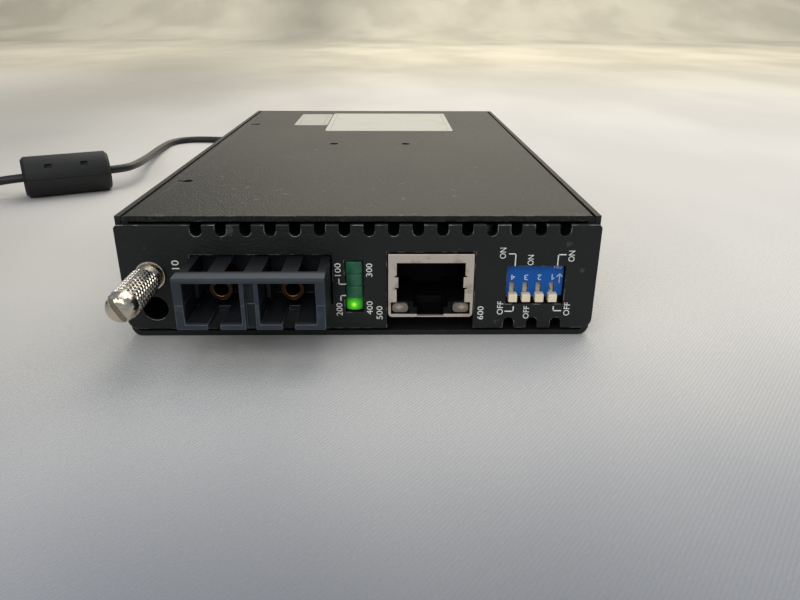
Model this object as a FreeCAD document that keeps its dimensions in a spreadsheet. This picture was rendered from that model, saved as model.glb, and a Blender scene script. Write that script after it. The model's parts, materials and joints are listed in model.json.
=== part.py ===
"""Fibre media converter: a card with a duplex optical receptacle, a network jack and a four-way
switch, which slides into a folded sheet-metal case and is held there by one captive thumbscrew.
Units are millimetres. X runs to the right, Y to the rear, Z up, and the origin is the centre of
the tray's floor. The case lies on its lid, so the board hangs under the base plate, parts down."""
import FreeCAD
import Part
import Sketcher
import math
import os
import re

# ---------------------------------------------------------------- driving dimensions

SIZES = dict(
    # how far a cutter reaches past the face it opens
    overcut=1.0,
    # case
    case_width=88.0, case_depth=146.0, case_height=23.8, sheet_gauge=1.0, bend_radius=2.0,
    cover_gap=0.25, flange_drop=7.0, cover_bend=0.6, cover_screw_drop=4.6,
    cover_screw_inset=22.0, cover_screw_pitch=98.0, cover_screw_bore=2.75, tap_bore=1.25,
    cover_head=2.6, thread_gap=0.03, flush_gap=0.05, ear_setback=3.2, ear_width=12.0,
    ear_below=4.4, ear_above=2.3, vent_width=1.6, vent_tall=9.0, vent_pitch=4.0, vent_count=8,
    vent_inset=34.0, vent_floor=6.0, key_bore=1.1, key_slot_width=1.1, key_slot_reach=2.2,
    key_inset=5.6, key_front=28.1, key_pitch=83.6, clip_hole_pitch=20.2, clip_hole_rear=1.7,
    # card and its guides
    board_drop=6.8, board_gauge=1.6, board_front_gap=0.5, board_rear_gap=2.0, guide_wide=3.5,
    guide_tall=6.0, guide_groove_deep=1.5, guide_groove_gap=0.2, guide_side_gap=0.25,
    guide_front_inset=9.0, guide_long=117.0,
    # front panel
    panel_gauge=1.0, panel_gap=0.1, panel_overhang=0.1, panel_lower_gap=1.0,
    panel_upper_gap=0.4, panel_lower_radius=1.8, panel_upper_radius=0.8, notch_width=2.1,
    notch_deep=2.15, notch_pitch=4.455, notch_count=16, notch_shift=4.02, lower_notch_count=3,
    lower_notch_lead=4.25, lower_notch_pitch=4.5, screw_inset=5.5, screw_drop=4.1,
    spare_hole_pitch=6.7, spare_hole_bore=2.4, tab_width=5.0, tab_long=8.5, tab_gap=3.4,
    tab_screw_setback=5.5, panel_screw_bore=1.35, panel_screw_head=1.85,
    panel_screw_head_tall=1.5, panel_screw_long=5.4,
    # duplex optical receptacle
    optic_across=18.1, optic_width=25.4, optic_tall=9.5, optic_reach=12.5, optic_nose=17.0,
    optic_lower=4.6, optic_bar=3.2, optic_step=0.5, port_pitch=12.7, port_width=9.6,
    port_tall=7.5, port_floor=1.0, port_deep=14.6, rib_width=2.9, divider_recess=1.7,
    divider_setback=1.0, key_cut_width=2.1, key_cut_long=8.5, window_long=10.5,
    optic_clearance=0.3, sleeve_outer=2.1, sleeve_inner=1.27, sleeve_recess=7.0,
    sleeve_floor=2.0, sleeve_flange=3.0, sleeve_flange_thick=0.8, latch_gauge=0.7,
    latch_tall=3.0, latch_long=8.0, latch_inset=0.9, box_long=22.4,
    # light stack
    light_across=1.1, light_width=3.1, light_pitch=2.4, light_gap=0.08, light_drop=11.2,
    light_long=4.6, light_dome=0.5, light_proud=0.1, light_clearance=0.25, holder_wall=0.5,
    holder_long=7.0,
    # network jack
    jack_across=13.15, jack_width=15.9, jack_drop=12.5, jack_proud=0.5, jack_long=21.3,
    jack_gauge=0.3, jack_side_bar=1.6, jack_top_bar=1.7, jack_corner=0.7, jack_foot_strip=0.6,
    jack_sill=2.4, jack_step=1.3, jack_edge_strip=0.5, jack_lamp_width=3.0, jack_lamp_tall=1.8,
    jack_lamp_round=0.7, jack_lamp_edge=0.25, jack_lamp_long=5.5, jack_lamp_recess=0.5,
    jack_mouth_deep=14.0, jack_stair_width=6.6, jack_key_width=5.0, jack_key_deep=6.0,
    jack_clearance=0.25, jack_tab_reach=0.3, jack_tab_floor=5.9, jack_tab_tall=2.1,
    jack_tab_slit=0.3, jack_tab_cut=0.35, contact_count=8, contact_pitch=1.02,
    contact_wide=0.35, contact_thick=0.3, contact_long=6.5, contact_drop=2.2,
    # four-way switch
    switch_share=0.4, switch_shift=16.6, switch_width=11.4, switch_drop=12.7, switch_tall=10.0,
    switch_back=6.6, switch_setback=0.2, lid_thick=1.2, lid_tall=6.1, window_before=5.1,
    window_after=5.9, window_lift=2.6, window_gap=0.2, way_pitch=2.5, slot_width=1.05,
    slider_width=1.6, slider_tall=1.6, slider_lift=3.1, slider_proud=1.5, slider_travel=1.7,
    slider_clearance=0.12, slider_bevel=0.45, plate_width=1.7, plate_thick=0.6, plate_lap=0.4,
    # captive thumbscrew
    ferrule_flange=2.8, ferrule_flange_thick=0.7, ferrule_body=2.2, ferrule_bore=1.65,
    knob_radius=2.6, knob_long=10.6, knob_end_long=2.4, knob_end_radius=2.4, knob_slot=0.95,
    knob_slot_deep=1.1, knob_turn=-60.0, knob_neck=0.3, knob_nose=0.9, knob_nose_bevel=0.35,
    spring_length=3.0, spring_wire=0.28, spring_radius=2.2, spring_turns=4, shank_radius=1.45,
    shank_tip=2.1, ring_radius=2.2, ring_thick=0.4, ring_clearance=0.1, groove_radius=1.1,
    tapped_radius=1.55, crest_gap=0.5,
    # parts on the board
    transformer_wide=12.7, transformer_long=9.6, transformer_tall=5.8, transformer_gap=4.2,
    chip_lift=0.15, leg_reach=1.0, leg_pitch=1.27, big_chip_across=-6.0, big_chip_rear=-22.0,
    big_chip=14.0, big_chip_tall=1.4, small_chip_across=16.0, small_chip_rear=-14.0,
    small_chip=7.0, small_chip_tall=1.0, crystal_across=-24.0, crystal_rear=-18.0,
    crystal_long=11.0, crystal_wide=4.6, crystal_tall=3.6, crystal_end=2.1, can_radius=3.15,
    can_tall=7.7, can_base=0.6, can_across=4.0, can_rear=35.0, can_pitch=12.0,
    regulator_inset=11.5, regulator_rear=30.0, regulator_wide=6.6, regulator_long=4.6,
    regulator_tall=2.3, regulator_tab=5.3, regulator_tab_long=3.1, regulator_tab_tall=0.5,
    # power inlet and plug
    inlet_inset=9.5, inlet_width=9.0, inlet_long=13.8, inlet_tall=10.8, inlet_drop=6.2,
    inlet_bore=3.0, inlet_pin=1.0, inlet_pin_long=8.8, inlet_rear_gap=0.4, inlet_floor=1.6,
    rear_hole=5.4, plug_radius=5.0, plug_long=22.0, plug_gap=0.3, barrel_radius=2.75,
    barrel_bore=1.15, barrel_long=9.4, relief_long=13.0, relief_base=2.7, relief_tip=1.75,
    plug_edge=0.6, plug_straight=15.4,
    # lead and its clamp
    cord_radius=1.4, clamp_across=104.9, clamp_rear=41.0, clamp_turn=27.2, clamp_radius=6.75,
    clamp_long=27.0, clamp_bevel=1.0, clamp_wall=1.1, clamp_end=1.6, clamp_bore=1.55,
    core_bore=1.9, core_gap=0.15, seam_gap=0.1, knuckle_radius=0.7, knuckle_gap=0.05,
    knuckle_space=0.2, latch_window=2.2, latch_pitch=11.0, latch_height=3.6,
    # coil, its tie and the mains adapter
    coil_across=157.0, coil_rear=20.0, coil_middle=15.5, coil_bevel=0.8, turns_wide=4,
    turns_tall=3, tie_gauge=0.5, tie_width=3.0, tie_gap=0.15, tie_turn=-60.0,
    adapter_across=169.0, adapter_front=80.0, adapter_wide=40.0, adapter_long=56.0,
    adapter_tall=30.0, adapter_wall=2.0, adapter_round=4.0, adapter_exit=6.0,
    adapter_relief_long=10.0, core_wide=28.0, core_long=30.0, core_tall=22.0, blade_wide=6.3,
    blade_thick=1.5, blade_long=17.0, blade_pitch=12.7, blade_root=6.0,
)

# Sizes that follow from others: the board hangs from the case's top between its guides, and the
# connectors, the screw and the switch hang from the board. The switch keeps room for a panel
# screw between itself and the jack.
FOLLOWING = dict(
    board_height="case_height - board_drop",
    groove_half="case_width / 2 - sheet_gauge * 2 - cover_gap - guide_wide + guide_groove_deep",
    board_half="groove_half - guide_side_gap",
    vent_start="case_width / 2 - vent_inset",
    screw_across="case_width / 2 - screw_inset",
    screw_height="board_height - screw_drop",
    spare_hole_height="screw_height - spare_hole_pitch",
    tab_left_across="optic_across + optic_width / 2 + tab_gap",
    optic_height="board_height - optic_tall",
    optic_seam="optic_height + optic_lower",
    light_floor="board_height - light_drop",
    switch_across="board_half * switch_share + switch_shift",
    switch_floor="board_height - switch_drop",
    switch_top="switch_floor + switch_tall",
    lid_floor="switch_top - lid_tall",
    slider_floor="switch_floor + slider_lift",
    window_left="switch_across - window_before",
    window_right="switch_across + window_after",
    window_floor="switch_floor + window_lift",
    window_top="switch_top + window_gap",
    lower_notch_start="switch_across - lower_notch_lead",
    tab_right_across="(jack_across + jack_width / 2 + switch_across - switch_width / 2) / 2",
    regulator_across="board_half - regulator_inset",
    inlet_across="board_half - inlet_inset",
)

doc = FreeCAD.newDocument("media_converter")
sheet = doc.addObject("Spreadsheet::Sheet", "Sizes")
cells = [(alias, str(amount)) for alias, amount in SIZES.items()]
cells += [(alias, f"={expression}") for alias, expression in FOLLOWING.items()]
for row, (alias, content) in enumerate(cells, start=1):
    sheet.set(f"A{row}", alias)
    sheet.set(f"B{row}", content)
    sheet.setAlias(f"B{row}", alias)
doc.recompute()

WORD = re.compile(r"[a-z][a-z_]*[a-z]|[a-z]")
FUNCTIONS = ("cos", "sin", "tan", "deg")


def in_sheet(expression):
    """The expression with each size named as the spreadsheet cell that holds it."""
    def swap(found):
        return found.group() if found.group() in FUNCTIONS else "Sizes." + found.group()
    return WORD.sub(swap, str(expression))


def number(expression):
    """The expression's value in millimetres, for a sketch's first guess and for plain shapes."""
    def swap(found):
        name = found.group()
        if name in FUNCTIONS:
            return name
        return f"({number(FOLLOWING[name]) if name in FOLLOWING else SIZES[name]})"
    return FreeCAD.Units.Quantity(WORD.sub(swap, str(expression))).Value


def bind(thing, prop, expression):
    """Ties one property of a document object to the sheet."""
    thing.setExpression(prop, in_sheet(expression))


def place(thing, at, axis=None, angle=0):
    """Puts an object at a point given as three expressions, turned about an axis first."""
    if axis:
        thing.Placement.Rotation = FreeCAD.Rotation(FreeCAD.Vector(*axis), angle)
    for letter, expression in zip("xyz", at):
        bind(thing, f"Placement.Base.{letter}", expression)


NODES = []


def node(thing, label):
    """Registers a finished sub-part under the name of its file."""
    thing.Label = label
    NODES.append(thing)
    return thing


# ---------------------------------------------------------------- primitives and booleans

def box(low, high):
    """A block between two corners, each three expressions."""
    made = doc.addObject("Part::Box", "Block")
    for prop, a, b in zip(("Length", "Width", "Height"), low, high):
        bind(made, prop, f"({b}) - ({a})")
    place(made, low)
    return made


TURNS = {"x": ((0, 1, 0), 90), "-x": ((0, 1, 0), -90), "y": ((1, 0, 0), -90),
         "-y": ((1, 0, 0), 90), "z": (None, 0), "-z": ((1, 0, 0), 180)}


def rod(radius, long, at, way="z"):
    """A cylinder that starts at a point and runs along one of the ways in TURNS."""
    made = doc.addObject("Part::Cylinder", "Rod")
    bind(made, "Radius", radius)
    bind(made, "Height", long)
    place(made, at, *TURNS[way])
    return made


def taper(first, last, long, at, way="z"):
    """A cone from one radius to another, along the same ways as rod."""
    made = doc.addObject("Part::Cone", "Taper")
    bind(made, "Radius1", first)
    bind(made, "Radius2", last)
    bind(made, "Height", long)
    place(made, at, *TURNS[way])
    return made


def cut(base, *tools):
    made = doc.addObject("Part::Cut", "Cut")
    made.Base = base
    made.Tool = tools[0] if len(tools) == 1 else fuse(*tools)
    return made


def fuse(*parts):
    made = doc.addObject("Part::MultiFuse", "Joined")
    made.Shapes = list(parts)
    return made


def common(first, second):
    made = doc.addObject("Part::Common", "Shared")
    made.Base = first
    made.Tool = second
    return made


def group(*parts):
    """Like pieces that stay separate solids in one sub-part."""
    made = doc.addObject("Part::Compound", "Set")
    made.Links = list(parts)
    return made


def rounded(base, radius, chosen):
    """Fillets the edges for which chosen(edge) is true, with a radius from the sheet."""
    doc.recompute()
    made = doc.addObject("Part::Fillet", "Rounded")
    made.Base = base
    size = number(radius)
    made.Edges = [(i, size, size) for i, e in enumerate(base.Shape.Edges, start=1) if chosen(e)]
    return made


def spans(edge):
    """The edge's extent along X, Y and Z."""
    b = edge.BoundBox
    return b.XLength, b.YLength, b.ZLength


def along(axis):
    """A test for straight edges that run along one axis, 0 to 2, and not along the others."""
    def test(edge):
        lengths = spans(edge)
        others = [lengths[i] for i in range(3) if i != axis]
        return lengths[axis] > 0.01 and max(others) < 0.001
    return test


# ---------------------------------------------------------------- part design helpers

def body(label):
    return node(doc.addObject("PartDesign::Body", label), label)


def plane(owner, role):
    return next(f for f in owner.Origin.OriginFeatures if f.Role == role)


def sketch(owner, role, name, lift="0"):
    """A sketch on one of the body's origin planes, lifted along the plane's normal."""
    made = owner.newObject("Sketcher::SketchObject", name)
    made.AttachmentSupport = [(plane(owner, role), "")]
    made.MapMode = "FlatFace"
    bind(made, "AttachmentOffset.Base.z", lift)
    return made


def pin_down(drawn, kind, geometry, point, expression, name):
    """Ties one point's distance from the sketch's origin to the sheet."""
    at = drawn.addConstraint(
        Sketcher.Constraint(kind, -1, 1, geometry, point, number(expression)))
    drawn.renameConstraint(at, name)
    bind(drawn, f"Constraints.{name}", expression)


def outline(drawn, low, high):
    """A rectangle between two corners, each two expressions."""
    x0, y0, x1, y1 = (number(v) for v in (*low, *high))
    corners = [FreeCAD.Vector(x, y, 0) for x, y in ((x0, y0), (x1, y0), (x1, y1), (x0, y1))]
    first = drawn.GeometryCount
    for start, end in zip(corners, corners[1:] + corners[:1]):
        drawn.addGeometry(Part.LineSegment(start, end), False)
    for i in range(4):
        drawn.addConstraint(
            Sketcher.Constraint("Coincident", first + i, 2, first + (i + 1) % 4, 1))
    for i, kind in enumerate(("Horizontal", "Vertical", "Horizontal", "Vertical")):
        drawn.addConstraint(Sketcher.Constraint(kind, first + i))
    pin_down(drawn, "DistanceX", first, 1, low[0], f"left_{first}")
    pin_down(drawn, "DistanceY", first, 1, low[1], f"lower_{first}")
    pin_down(drawn, "DistanceX", first + 2, 1, high[0], f"right_{first}")
    pin_down(drawn, "DistanceY", first + 2, 1, high[1], f"upper_{first}")


def ring_line(drawn, centre, radius):
    """A circle round a point given as two expressions."""
    x, y = (number(v) for v in centre)
    first = drawn.addGeometry(Part.Circle(
        FreeCAD.Vector(x, y, 0), FreeCAD.Vector(0, 0, 1), number(radius)), False)
    size = drawn.addConstraint(Sketcher.Constraint("Radius", first, number(radius)))
    drawn.renameConstraint(size, f"radius_{first}")
    bind(drawn, f"Constraints.radius_{first}", radius)
    pin_down(drawn, "DistanceX", first, 3, centre[0], f"across_{first}")
    pin_down(drawn, "DistanceY", first, 3, centre[1], f"along_{first}")


def slot_line(drawn, lower, upper, radius):
    """An upright slot with round ends, between two centres that share their first expression."""
    x, y0, y1, r = (number(v) for v in (lower[0], lower[1], upper[1], radius))
    up, down = FreeCAD.Vector(x, y1, 0), FreeCAD.Vector(x, y0, 0)
    axis = FreeCAD.Vector(0, 0, 1)
    first = drawn.GeometryCount
    drawn.addGeometry(Part.ArcOfCircle(Part.Circle(up, axis, r), 0, math.pi), False)
    drawn.addGeometry(Part.LineSegment(
        FreeCAD.Vector(x - r, y1, 0), FreeCAD.Vector(x - r, y0, 0)), False)
    drawn.addGeometry(Part.ArcOfCircle(Part.Circle(down, axis, r), math.pi, 2 * math.pi), False)
    drawn.addGeometry(Part.LineSegment(
        FreeCAD.Vector(x + r, y0, 0), FreeCAD.Vector(x + r, y1, 0)), False)
    for a, pa, b, pb in ((0, 2, 1, 1), (1, 2, 2, 1), (2, 2, 3, 1), (3, 2, 0, 1)):
        drawn.addConstraint(Sketcher.Constraint("Tangent", first + a, pa, first + b, pb))
    size = drawn.addConstraint(Sketcher.Constraint("Radius", first, r))
    drawn.renameConstraint(size, f"radius_{first}")
    bind(drawn, f"Constraints.radius_{first}", radius)
    pin_down(drawn, "DistanceX", first, 3, upper[0], f"across_{first}")
    pin_down(drawn, "DistanceY", first, 3, upper[1], f"above_{first}")
    pin_down(drawn, "DistanceY", first + 2, 3, lower[1], f"below_{first}")
    drawn.addConstraint(Sketcher.Constraint("Vertical", first + 1))


def closed_line(drawn, points):
    """A closed outline of straight lines through points of two expressions each."""
    corners = [FreeCAD.Vector(number(x), number(y), 0) for x, y in points]
    first = drawn.GeometryCount
    for start, end in zip(corners, corners[1:] + corners[:1]):
        drawn.addGeometry(Part.LineSegment(start, end), False)
    count = len(points)
    for i in range(count):
        drawn.addConstraint(
            Sketcher.Constraint("Coincident", first + i, 2, first + (i + 1) % count, 1))
    for i, (x, y) in enumerate(points):
        pin_down(drawn, "DistanceX", first + i, 1, x, f"x_{first + i}")
        pin_down(drawn, "DistanceY", first + i, 1, y, f"y_{first + i}")


def pad(owner, drawn, long, name, reverse=False):
    made = owner.newObject("PartDesign::Pad", name)
    made.Profile = drawn
    made.Reversed = reverse
    bind(made, "Length", long)
    owner.Tip = made
    return made


def pocket(owner, drawn, name, long=None, reverse=False, both=False):
    """Cuts a sketch's outline: to a depth, or through everything on both sides of its plane."""
    doc.recompute()
    made = owner.newObject("PartDesign::Pocket", name)
    made.Profile = drawn
    made.Reversed = reverse
    if long is None:
        made.Type = "ThroughAll"
        made.Midplane = both
    else:
        bind(made, "Length", long)
    owner.Tip = made
    doc.recompute()
    return made


def fillet(owner, base, radius, chosen, name):
    """Rounds the base feature's edges for which chosen(edge) is true."""
    doc.recompute()
    made = owner.newObject("PartDesign::Fillet", name)
    names = [f"Edge{i}" for i, e in enumerate(base.Shape.Edges, start=1) if chosen(e)]
    made.Base = (base, names)
    bind(made, "Radius", radius)
    owner.Tip = made
    doc.recompute()
    return made


def row_of(owner, feature, drawn, axis, count, pitch, name):
    """Repeats a feature along one of its sketch's axes."""
    made = owner.newObject("PartDesign::LinearPattern", name)
    made.Originals = [feature]
    made.Direction = (drawn, [axis])
    bind(made, "Occurrences", count)
    bind(made, "Length", f"({count} - 1) * {pitch}")
    owner.Tip = made
    doc.recompute()
    return made


def turned(owner, points, name):
    """A solid of revolution about the body's own Z axis, from (radius, height) expressions."""
    drawn = sketch(owner, "XZ_Plane", f"{name}_outline")
    closed_line(drawn, points)
    made = owner.newObject("PartDesign::Revolution", name)
    made.Profile = drawn
    made.ReferenceAxis = (drawn, ["V_Axis"])
    made.Angle = 360
    owner.Tip = made
    return made


# ---------------------------------------------------------------- shared places

HALF = "(case_width / 2)"
FRONT = "(-case_depth / 2)"
REAR = "(case_depth / 2)"
PANEL_BACK = f"({FRONT} - panel_gap)"
PANEL_FACE = f"({PANEL_BACK} - panel_gauge)"
PANEL_FOOT = "(sheet_gauge + panel_lower_gap)"
PANEL_HEAD = "(case_height - sheet_gauge - panel_upper_gap)"
PANEL_HALF = f"({HALF} + panel_overhang)"
COVER_UNDER = "(case_height - sheet_gauge)"
COVER_HALF = f"({HALF} - sheet_gauge - cover_gap)"
FLANGE_INNER = f"({COVER_HALF} - sheet_gauge)"
BOARD_TOP = "(board_height + board_gauge)"
BOARD_FRONT = f"({PANEL_BACK} + board_front_gap)"
BOARD_REAR = f"({REAR} - sheet_gauge - board_rear_gap)"
SCREW_X = "(-screw_across)"
OPTIC_FACE = f"({PANEL_FACE} - optic_reach)"
OPTIC_MID = "(-optic_across)"
OPTIC_LEFT = f"({OPTIC_MID} - optic_width / 2)"
OPTIC_RIGHT = f"({OPTIC_MID} + optic_width / 2)"
OPTIC_TOP = "(optic_height + optic_tall)"
OPTIC_BACK = f"({OPTIC_FACE} + optic_nose)"
PORT_MIDS = [f"({OPTIC_MID} - port_pitch / 2)", f"({OPTIC_MID} + port_pitch / 2)"]
PORT_FOOT = "(optic_height + port_floor)"
PORT_AXIS = f"({PORT_FOOT} + port_tall / 2)"
LIGHT_LEFT = "(-light_across - light_width / 2)"
LIGHT_RIGHT = "(-light_across + light_width / 2)"
LIGHT_FACE = f"({PANEL_FACE} - light_proud)"
LIGHT_TOP = "(light_floor + 4 * light_pitch)"
JACK_FACE = f"({PANEL_FACE} - jack_proud)"
JACK_LEFT = "(jack_across - jack_width / 2)"
JACK_RIGHT = "(jack_across + jack_width / 2)"
JACK_TOP = "board_height"
JACK_FOOT = "(board_height - jack_drop)"
LID_FACE = f"({PANEL_BACK} + switch_setback)"
SWITCH_LEFT = "(switch_across - switch_width / 2)"
SWITCH_RIGHT = "(switch_across + switch_width / 2)"
INLET_X = "(-inlet_across)"
INLET_Z = "(board_height - inlet_drop)"
KNOB_BACK = f"({PANEL_FACE} - ferrule_flange_thick - spring_length)"

# ---------------------------------------------------------------- case

# Tray: floor, two sides and a rear wall folded from one sheet, with a tapped ear for the screw.
tray = body("case_tray")
drawn = sketch(tray, "XZ_Plane", "tray_outline", f"-({FRONT})")
outline(drawn, (f"-{HALF}", "0"), (HALF, "case_height"))
blank = pad(tray, drawn, "case_depth", "blank", reverse=True)


def long_low_edge(edge):
    return along(1)(edge) and edge.BoundBox.ZMax < 0.01


bends = fillet(tray, blank, "bend_radius", long_low_edge, "outer_bends")
drawn = sketch(tray, "XZ_Plane", "hollow_outline", f"-({FRONT})")
outline(drawn, (f"-{HALF} + sheet_gauge", "sheet_gauge"),
        (f"{HALF} - sheet_gauge", "case_height + sheet_gauge"))
hollow = pocket(tray, drawn, "hollow", "case_depth - sheet_gauge")
if abs(hollow.Shape.Volume - bends.Shape.Volume) < 1:
    hollow.Reversed = not hollow.Reversed
    doc.recompute()


def inner_low_edge(edge):
    b = edge.BoundBox
    inner = number(f"{HALF} - sheet_gauge")
    return (along(1)(edge) and abs(b.ZMax - number("sheet_gauge")) < 0.01
            and abs(abs(b.XMax) - inner) < 0.01)


fillet(tray, hollow, "bend_radius - sheet_gauge", inner_low_edge, "inner_bends")
EAR_FACE = f"({FRONT} + ear_setback)"
drawn = sketch(tray, "XZ_Plane", "ear_outline", f"-({EAR_FACE})")
outline(drawn, (f"-{HALF} + sheet_gauge / 2", "screw_height - ear_below"),
        (f"-{HALF} + ear_width", "screw_height + ear_above"))
pad(tray, drawn, "sheet_gauge", "ear", reverse=True)
drawn = sketch(tray, "XZ_Plane", "ear_hole", f"-({EAR_FACE} - sheet_gauge)")
ring_line(drawn, (SCREW_X, "screw_height"), "tapped_radius")
pocket(tray, drawn, "tapped_hole", "sheet_gauge * 3")
SIDE_SCREWS = [f"({REAR} - cover_screw_inset)",
               f"({REAR} - cover_screw_inset - cover_screw_pitch)"]
SIDE_SCREW_Z = "(case_height - cover_screw_drop)"
drawn = sketch(tray, "YZ_Plane", "side_holes")
for place_y in SIDE_SCREWS:
    ring_line(drawn, (place_y, SIDE_SCREW_Z), "cover_screw_bore")
pocket(tray, drawn, "side_screw_holes", both=True)
drawn = sketch(tray, "XZ_Plane", "rear_hole_outline", f"-({REAR} - sheet_gauge * 2)")
ring_line(drawn, (INLET_X, INLET_Z), "rear_hole")
pocket(tray, drawn, "power_hole", "sheet_gauge * 3")
drawn = sketch(tray, "XZ_Plane", "vent_outline", f"-({REAR} - sheet_gauge * 2)")
slot_line(drawn, ("vent_start", "vent_floor + vent_width / 2"),
          ("vent_start", "vent_floor + vent_tall - vent_width / 2"), "vent_width / 2")
vent = pocket(tray, drawn, "vent", "sheet_gauge * 3")
row_of(tray, vent, drawn, "H_Axis", "vent_count", "vent_pitch", "vents")

# Base plate: lies flush between the sides, its two flanges screwed to them.
cover = body("cover_plate")
COVER_REAR = f"({REAR} - sheet_gauge - cover_gap)"
drawn = sketch(cover, "XZ_Plane", "plate_section", f"-({FRONT})")
closed_line(drawn, [
    (f"-{COVER_HALF}", f"{COVER_UNDER} - flange_drop"),
    (f"-{FLANGE_INNER}", f"{COVER_UNDER} - flange_drop"),
    (f"-{FLANGE_INNER}", COVER_UNDER),
    (FLANGE_INNER, COVER_UNDER),
    (FLANGE_INNER, f"{COVER_UNDER} - flange_drop"),
    (COVER_HALF, f"{COVER_UNDER} - flange_drop"),
    (COVER_HALF, "case_height"),
    (f"-{COVER_HALF}", "case_height"),
])
plate = pad(cover, drawn, f"{COVER_REAR} - {FRONT}", "folded_plate", reverse=True)


def plate_top_edge(edge):
    return along(1)(edge) and edge.BoundBox.ZMin > number("case_height") - 0.01


fillet(cover, plate, "cover_bend", plate_top_edge, "plate_bends")
KEY_X = f"(-{HALF} + key_inset)"
KEYS = [f"({FRONT} + key_front)", f"({FRONT} + key_front + key_pitch)"]
drawn = sketch(cover, "XY_Plane", "key_round", "case_height + sheet_gauge")
for key_y in KEYS:
    ring_line(drawn, (KEY_X, key_y), "key_bore")
for side in ("-1", "1"):
    ring_line(drawn, (f"{side} * clip_hole_pitch / 2", "clip_hole_rear"), "tap_bore")
pocket(cover, drawn, "round_holes", "sheet_gauge * 2.5")
drawn = sketch(cover, "XY_Plane", "key_slots", "case_height + sheet_gauge")
for key_y in KEYS:
    outline(drawn, (f"{KEY_X} - key_slot_reach", f"{key_y} - key_slot_width / 2"),
            (KEY_X, f"{key_y} + key_slot_width / 2"))
pocket(cover, drawn, "key_lances", "sheet_gauge * 2.5")
drawn = sketch(cover, "YZ_Plane", "flange_holes")
for place_y in SIDE_SCREWS:
    ring_line(drawn, (place_y, SIDE_SCREW_Z), "tap_bore")
pocket(cover, drawn, "flange_screw_holes", both=True)

# Side screws: countersunk heads flush in the sides, threads in the flanges.
side_screws = []
for side, way_out in ((-1, "x"), (1, "-x")):
    for place_y in SIDE_SCREWS:
        face = (f"{side} * ({HALF} - flush_gap)", place_y, SIDE_SCREW_Z)
        seat = (f"{side} * {COVER_HALF}", place_y, SIDE_SCREW_Z)
        head = taper("cover_head", "tap_bore", "sheet_gauge + cover_gap - flush_gap", face, way_out)
        shank = rod("tap_bore - thread_gap", "sheet_gauge - flush_gap", seat, way_out)
        side_screws.append(fuse(head, shank))
node(group(*side_screws), "cover_screws")

# Guides: plastic rails with a groove for the board's edge, clipped inside the flanges.
for label, side in (("guide_left", -1), ("guide_right", 1)):
    outer = f"({side} * {FLANGE_INNER})"
    inner = f"({side} * ({FLANGE_INNER} - guide_wide))"
    groove = f"({side} * groove_half)"
    near, far = (outer, inner) if side < 0 else (inner, outer)
    cut_near, cut_far = (groove, inner) if side < 0 else (inner, groove)
    rail_floor = f"({BOARD_TOP} + board_height - guide_tall) / 2"
    start = f"({FRONT} + guide_front_inset)"
    rail = box((near, start, rail_floor),
               (far, f"{start} + guide_long", f"{rail_floor} + guide_tall"))
    trough = box((cut_near, f"{start} - overcut", "board_height - guide_groove_gap"),
                 (cut_far, f"{start} + guide_long + overcut", f"{BOARD_TOP} + guide_groove_gap"))
    node(cut(rail, trough), label)

# ---------------------------------------------------------------- card: board and front panel

TAB_UNDER = BOARD_TOP
TABS = ["(-tab_left_across)", "tab_right_across"]
TAB_SCREW_Y = f"({PANEL_BACK} + tab_screw_setback)"

# Printed circuit board, its parts on the underside.
board = box(("-board_half", BOARD_FRONT, "board_height"), ("board_half", BOARD_REAR, BOARD_TOP))
tab_holes = [rod("panel_screw_bore", "board_gauge + overcut * 2",
                 (x, TAB_SCREW_Y, "board_height - overcut")) for x in TABS]
node(cut(board, *tab_holes), "circuit_board")

# Front panel: folded sheet, cut out for every connector, with two tabs over the board.
panel = body("front_panel")
drawn = sketch(panel, "XZ_Plane", "panel_outline", f"-({PANEL_BACK})")
outline(drawn, (f"-{PANEL_HALF}", PANEL_FOOT), (PANEL_HALF, PANEL_HEAD))
blank = pad(panel, drawn, "panel_gauge", "panel_blank")


def panel_corner(upper):
    def test(edge):
        b = edge.BoundBox
        if not along(1)(edge):
            return False
        return b.ZMin > number(PANEL_HEAD) - 0.01 if upper else b.ZMax < number(PANEL_FOOT) + 0.01
    return test


lower = fillet(panel, blank, "panel_lower_radius", panel_corner(False), "lower_corners")
fillet(panel, lower, "panel_upper_radius", panel_corner(True), "upper_corners")
tabs = sketch(panel, "XY_Plane", "tab_outline", TAB_UNDER)
for x in TABS:
    outline(tabs, (f"{x} - tab_width / 2", f"{PANEL_BACK} - panel_gauge / 2"),
            (f"{x} + tab_width / 2", f"{PANEL_BACK} + tab_long"))
pad(panel, tabs, "panel_gauge", "tabs")
tab_taps = sketch(panel, "XY_Plane", "tab_holes", f"{TAB_UNDER} - overcut")
for x in TABS:
    ring_line(tab_taps, (x, TAB_SCREW_Y), "panel_screw_bore")
pocket(panel, tab_taps, "tab_screw_holes", "panel_gauge + overcut * 2", reverse=True)


def panel_pocket(name, draw):
    """Cuts one outline right through the panel, from in front of it."""
    drawn = sketch(panel, "XZ_Plane", f"{name}_outline", f"-({PANEL_FACE} - panel_gauge)")
    draw(drawn)
    made = pocket(panel, drawn, name, "panel_gauge * 2.05")
    return made, drawn


def first_notch(drawn):
    start = "(notch_shift - notch_pitch * (notch_count - 1) / 2)"
    reach = f"({PANEL_HEAD} - notch_deep + notch_width / 2)"
    slot_line(drawn, (start, reach), (start, f"{PANEL_HEAD} + notch_width"), "notch_width / 2")


def first_lower_notch(drawn):
    reach = f"({PANEL_FOOT} + notch_deep - notch_width / 2)"
    slot_line(drawn, ("lower_notch_start", f"{PANEL_FOOT} - notch_width"),
              ("lower_notch_start", reach), "notch_width / 2")


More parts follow.
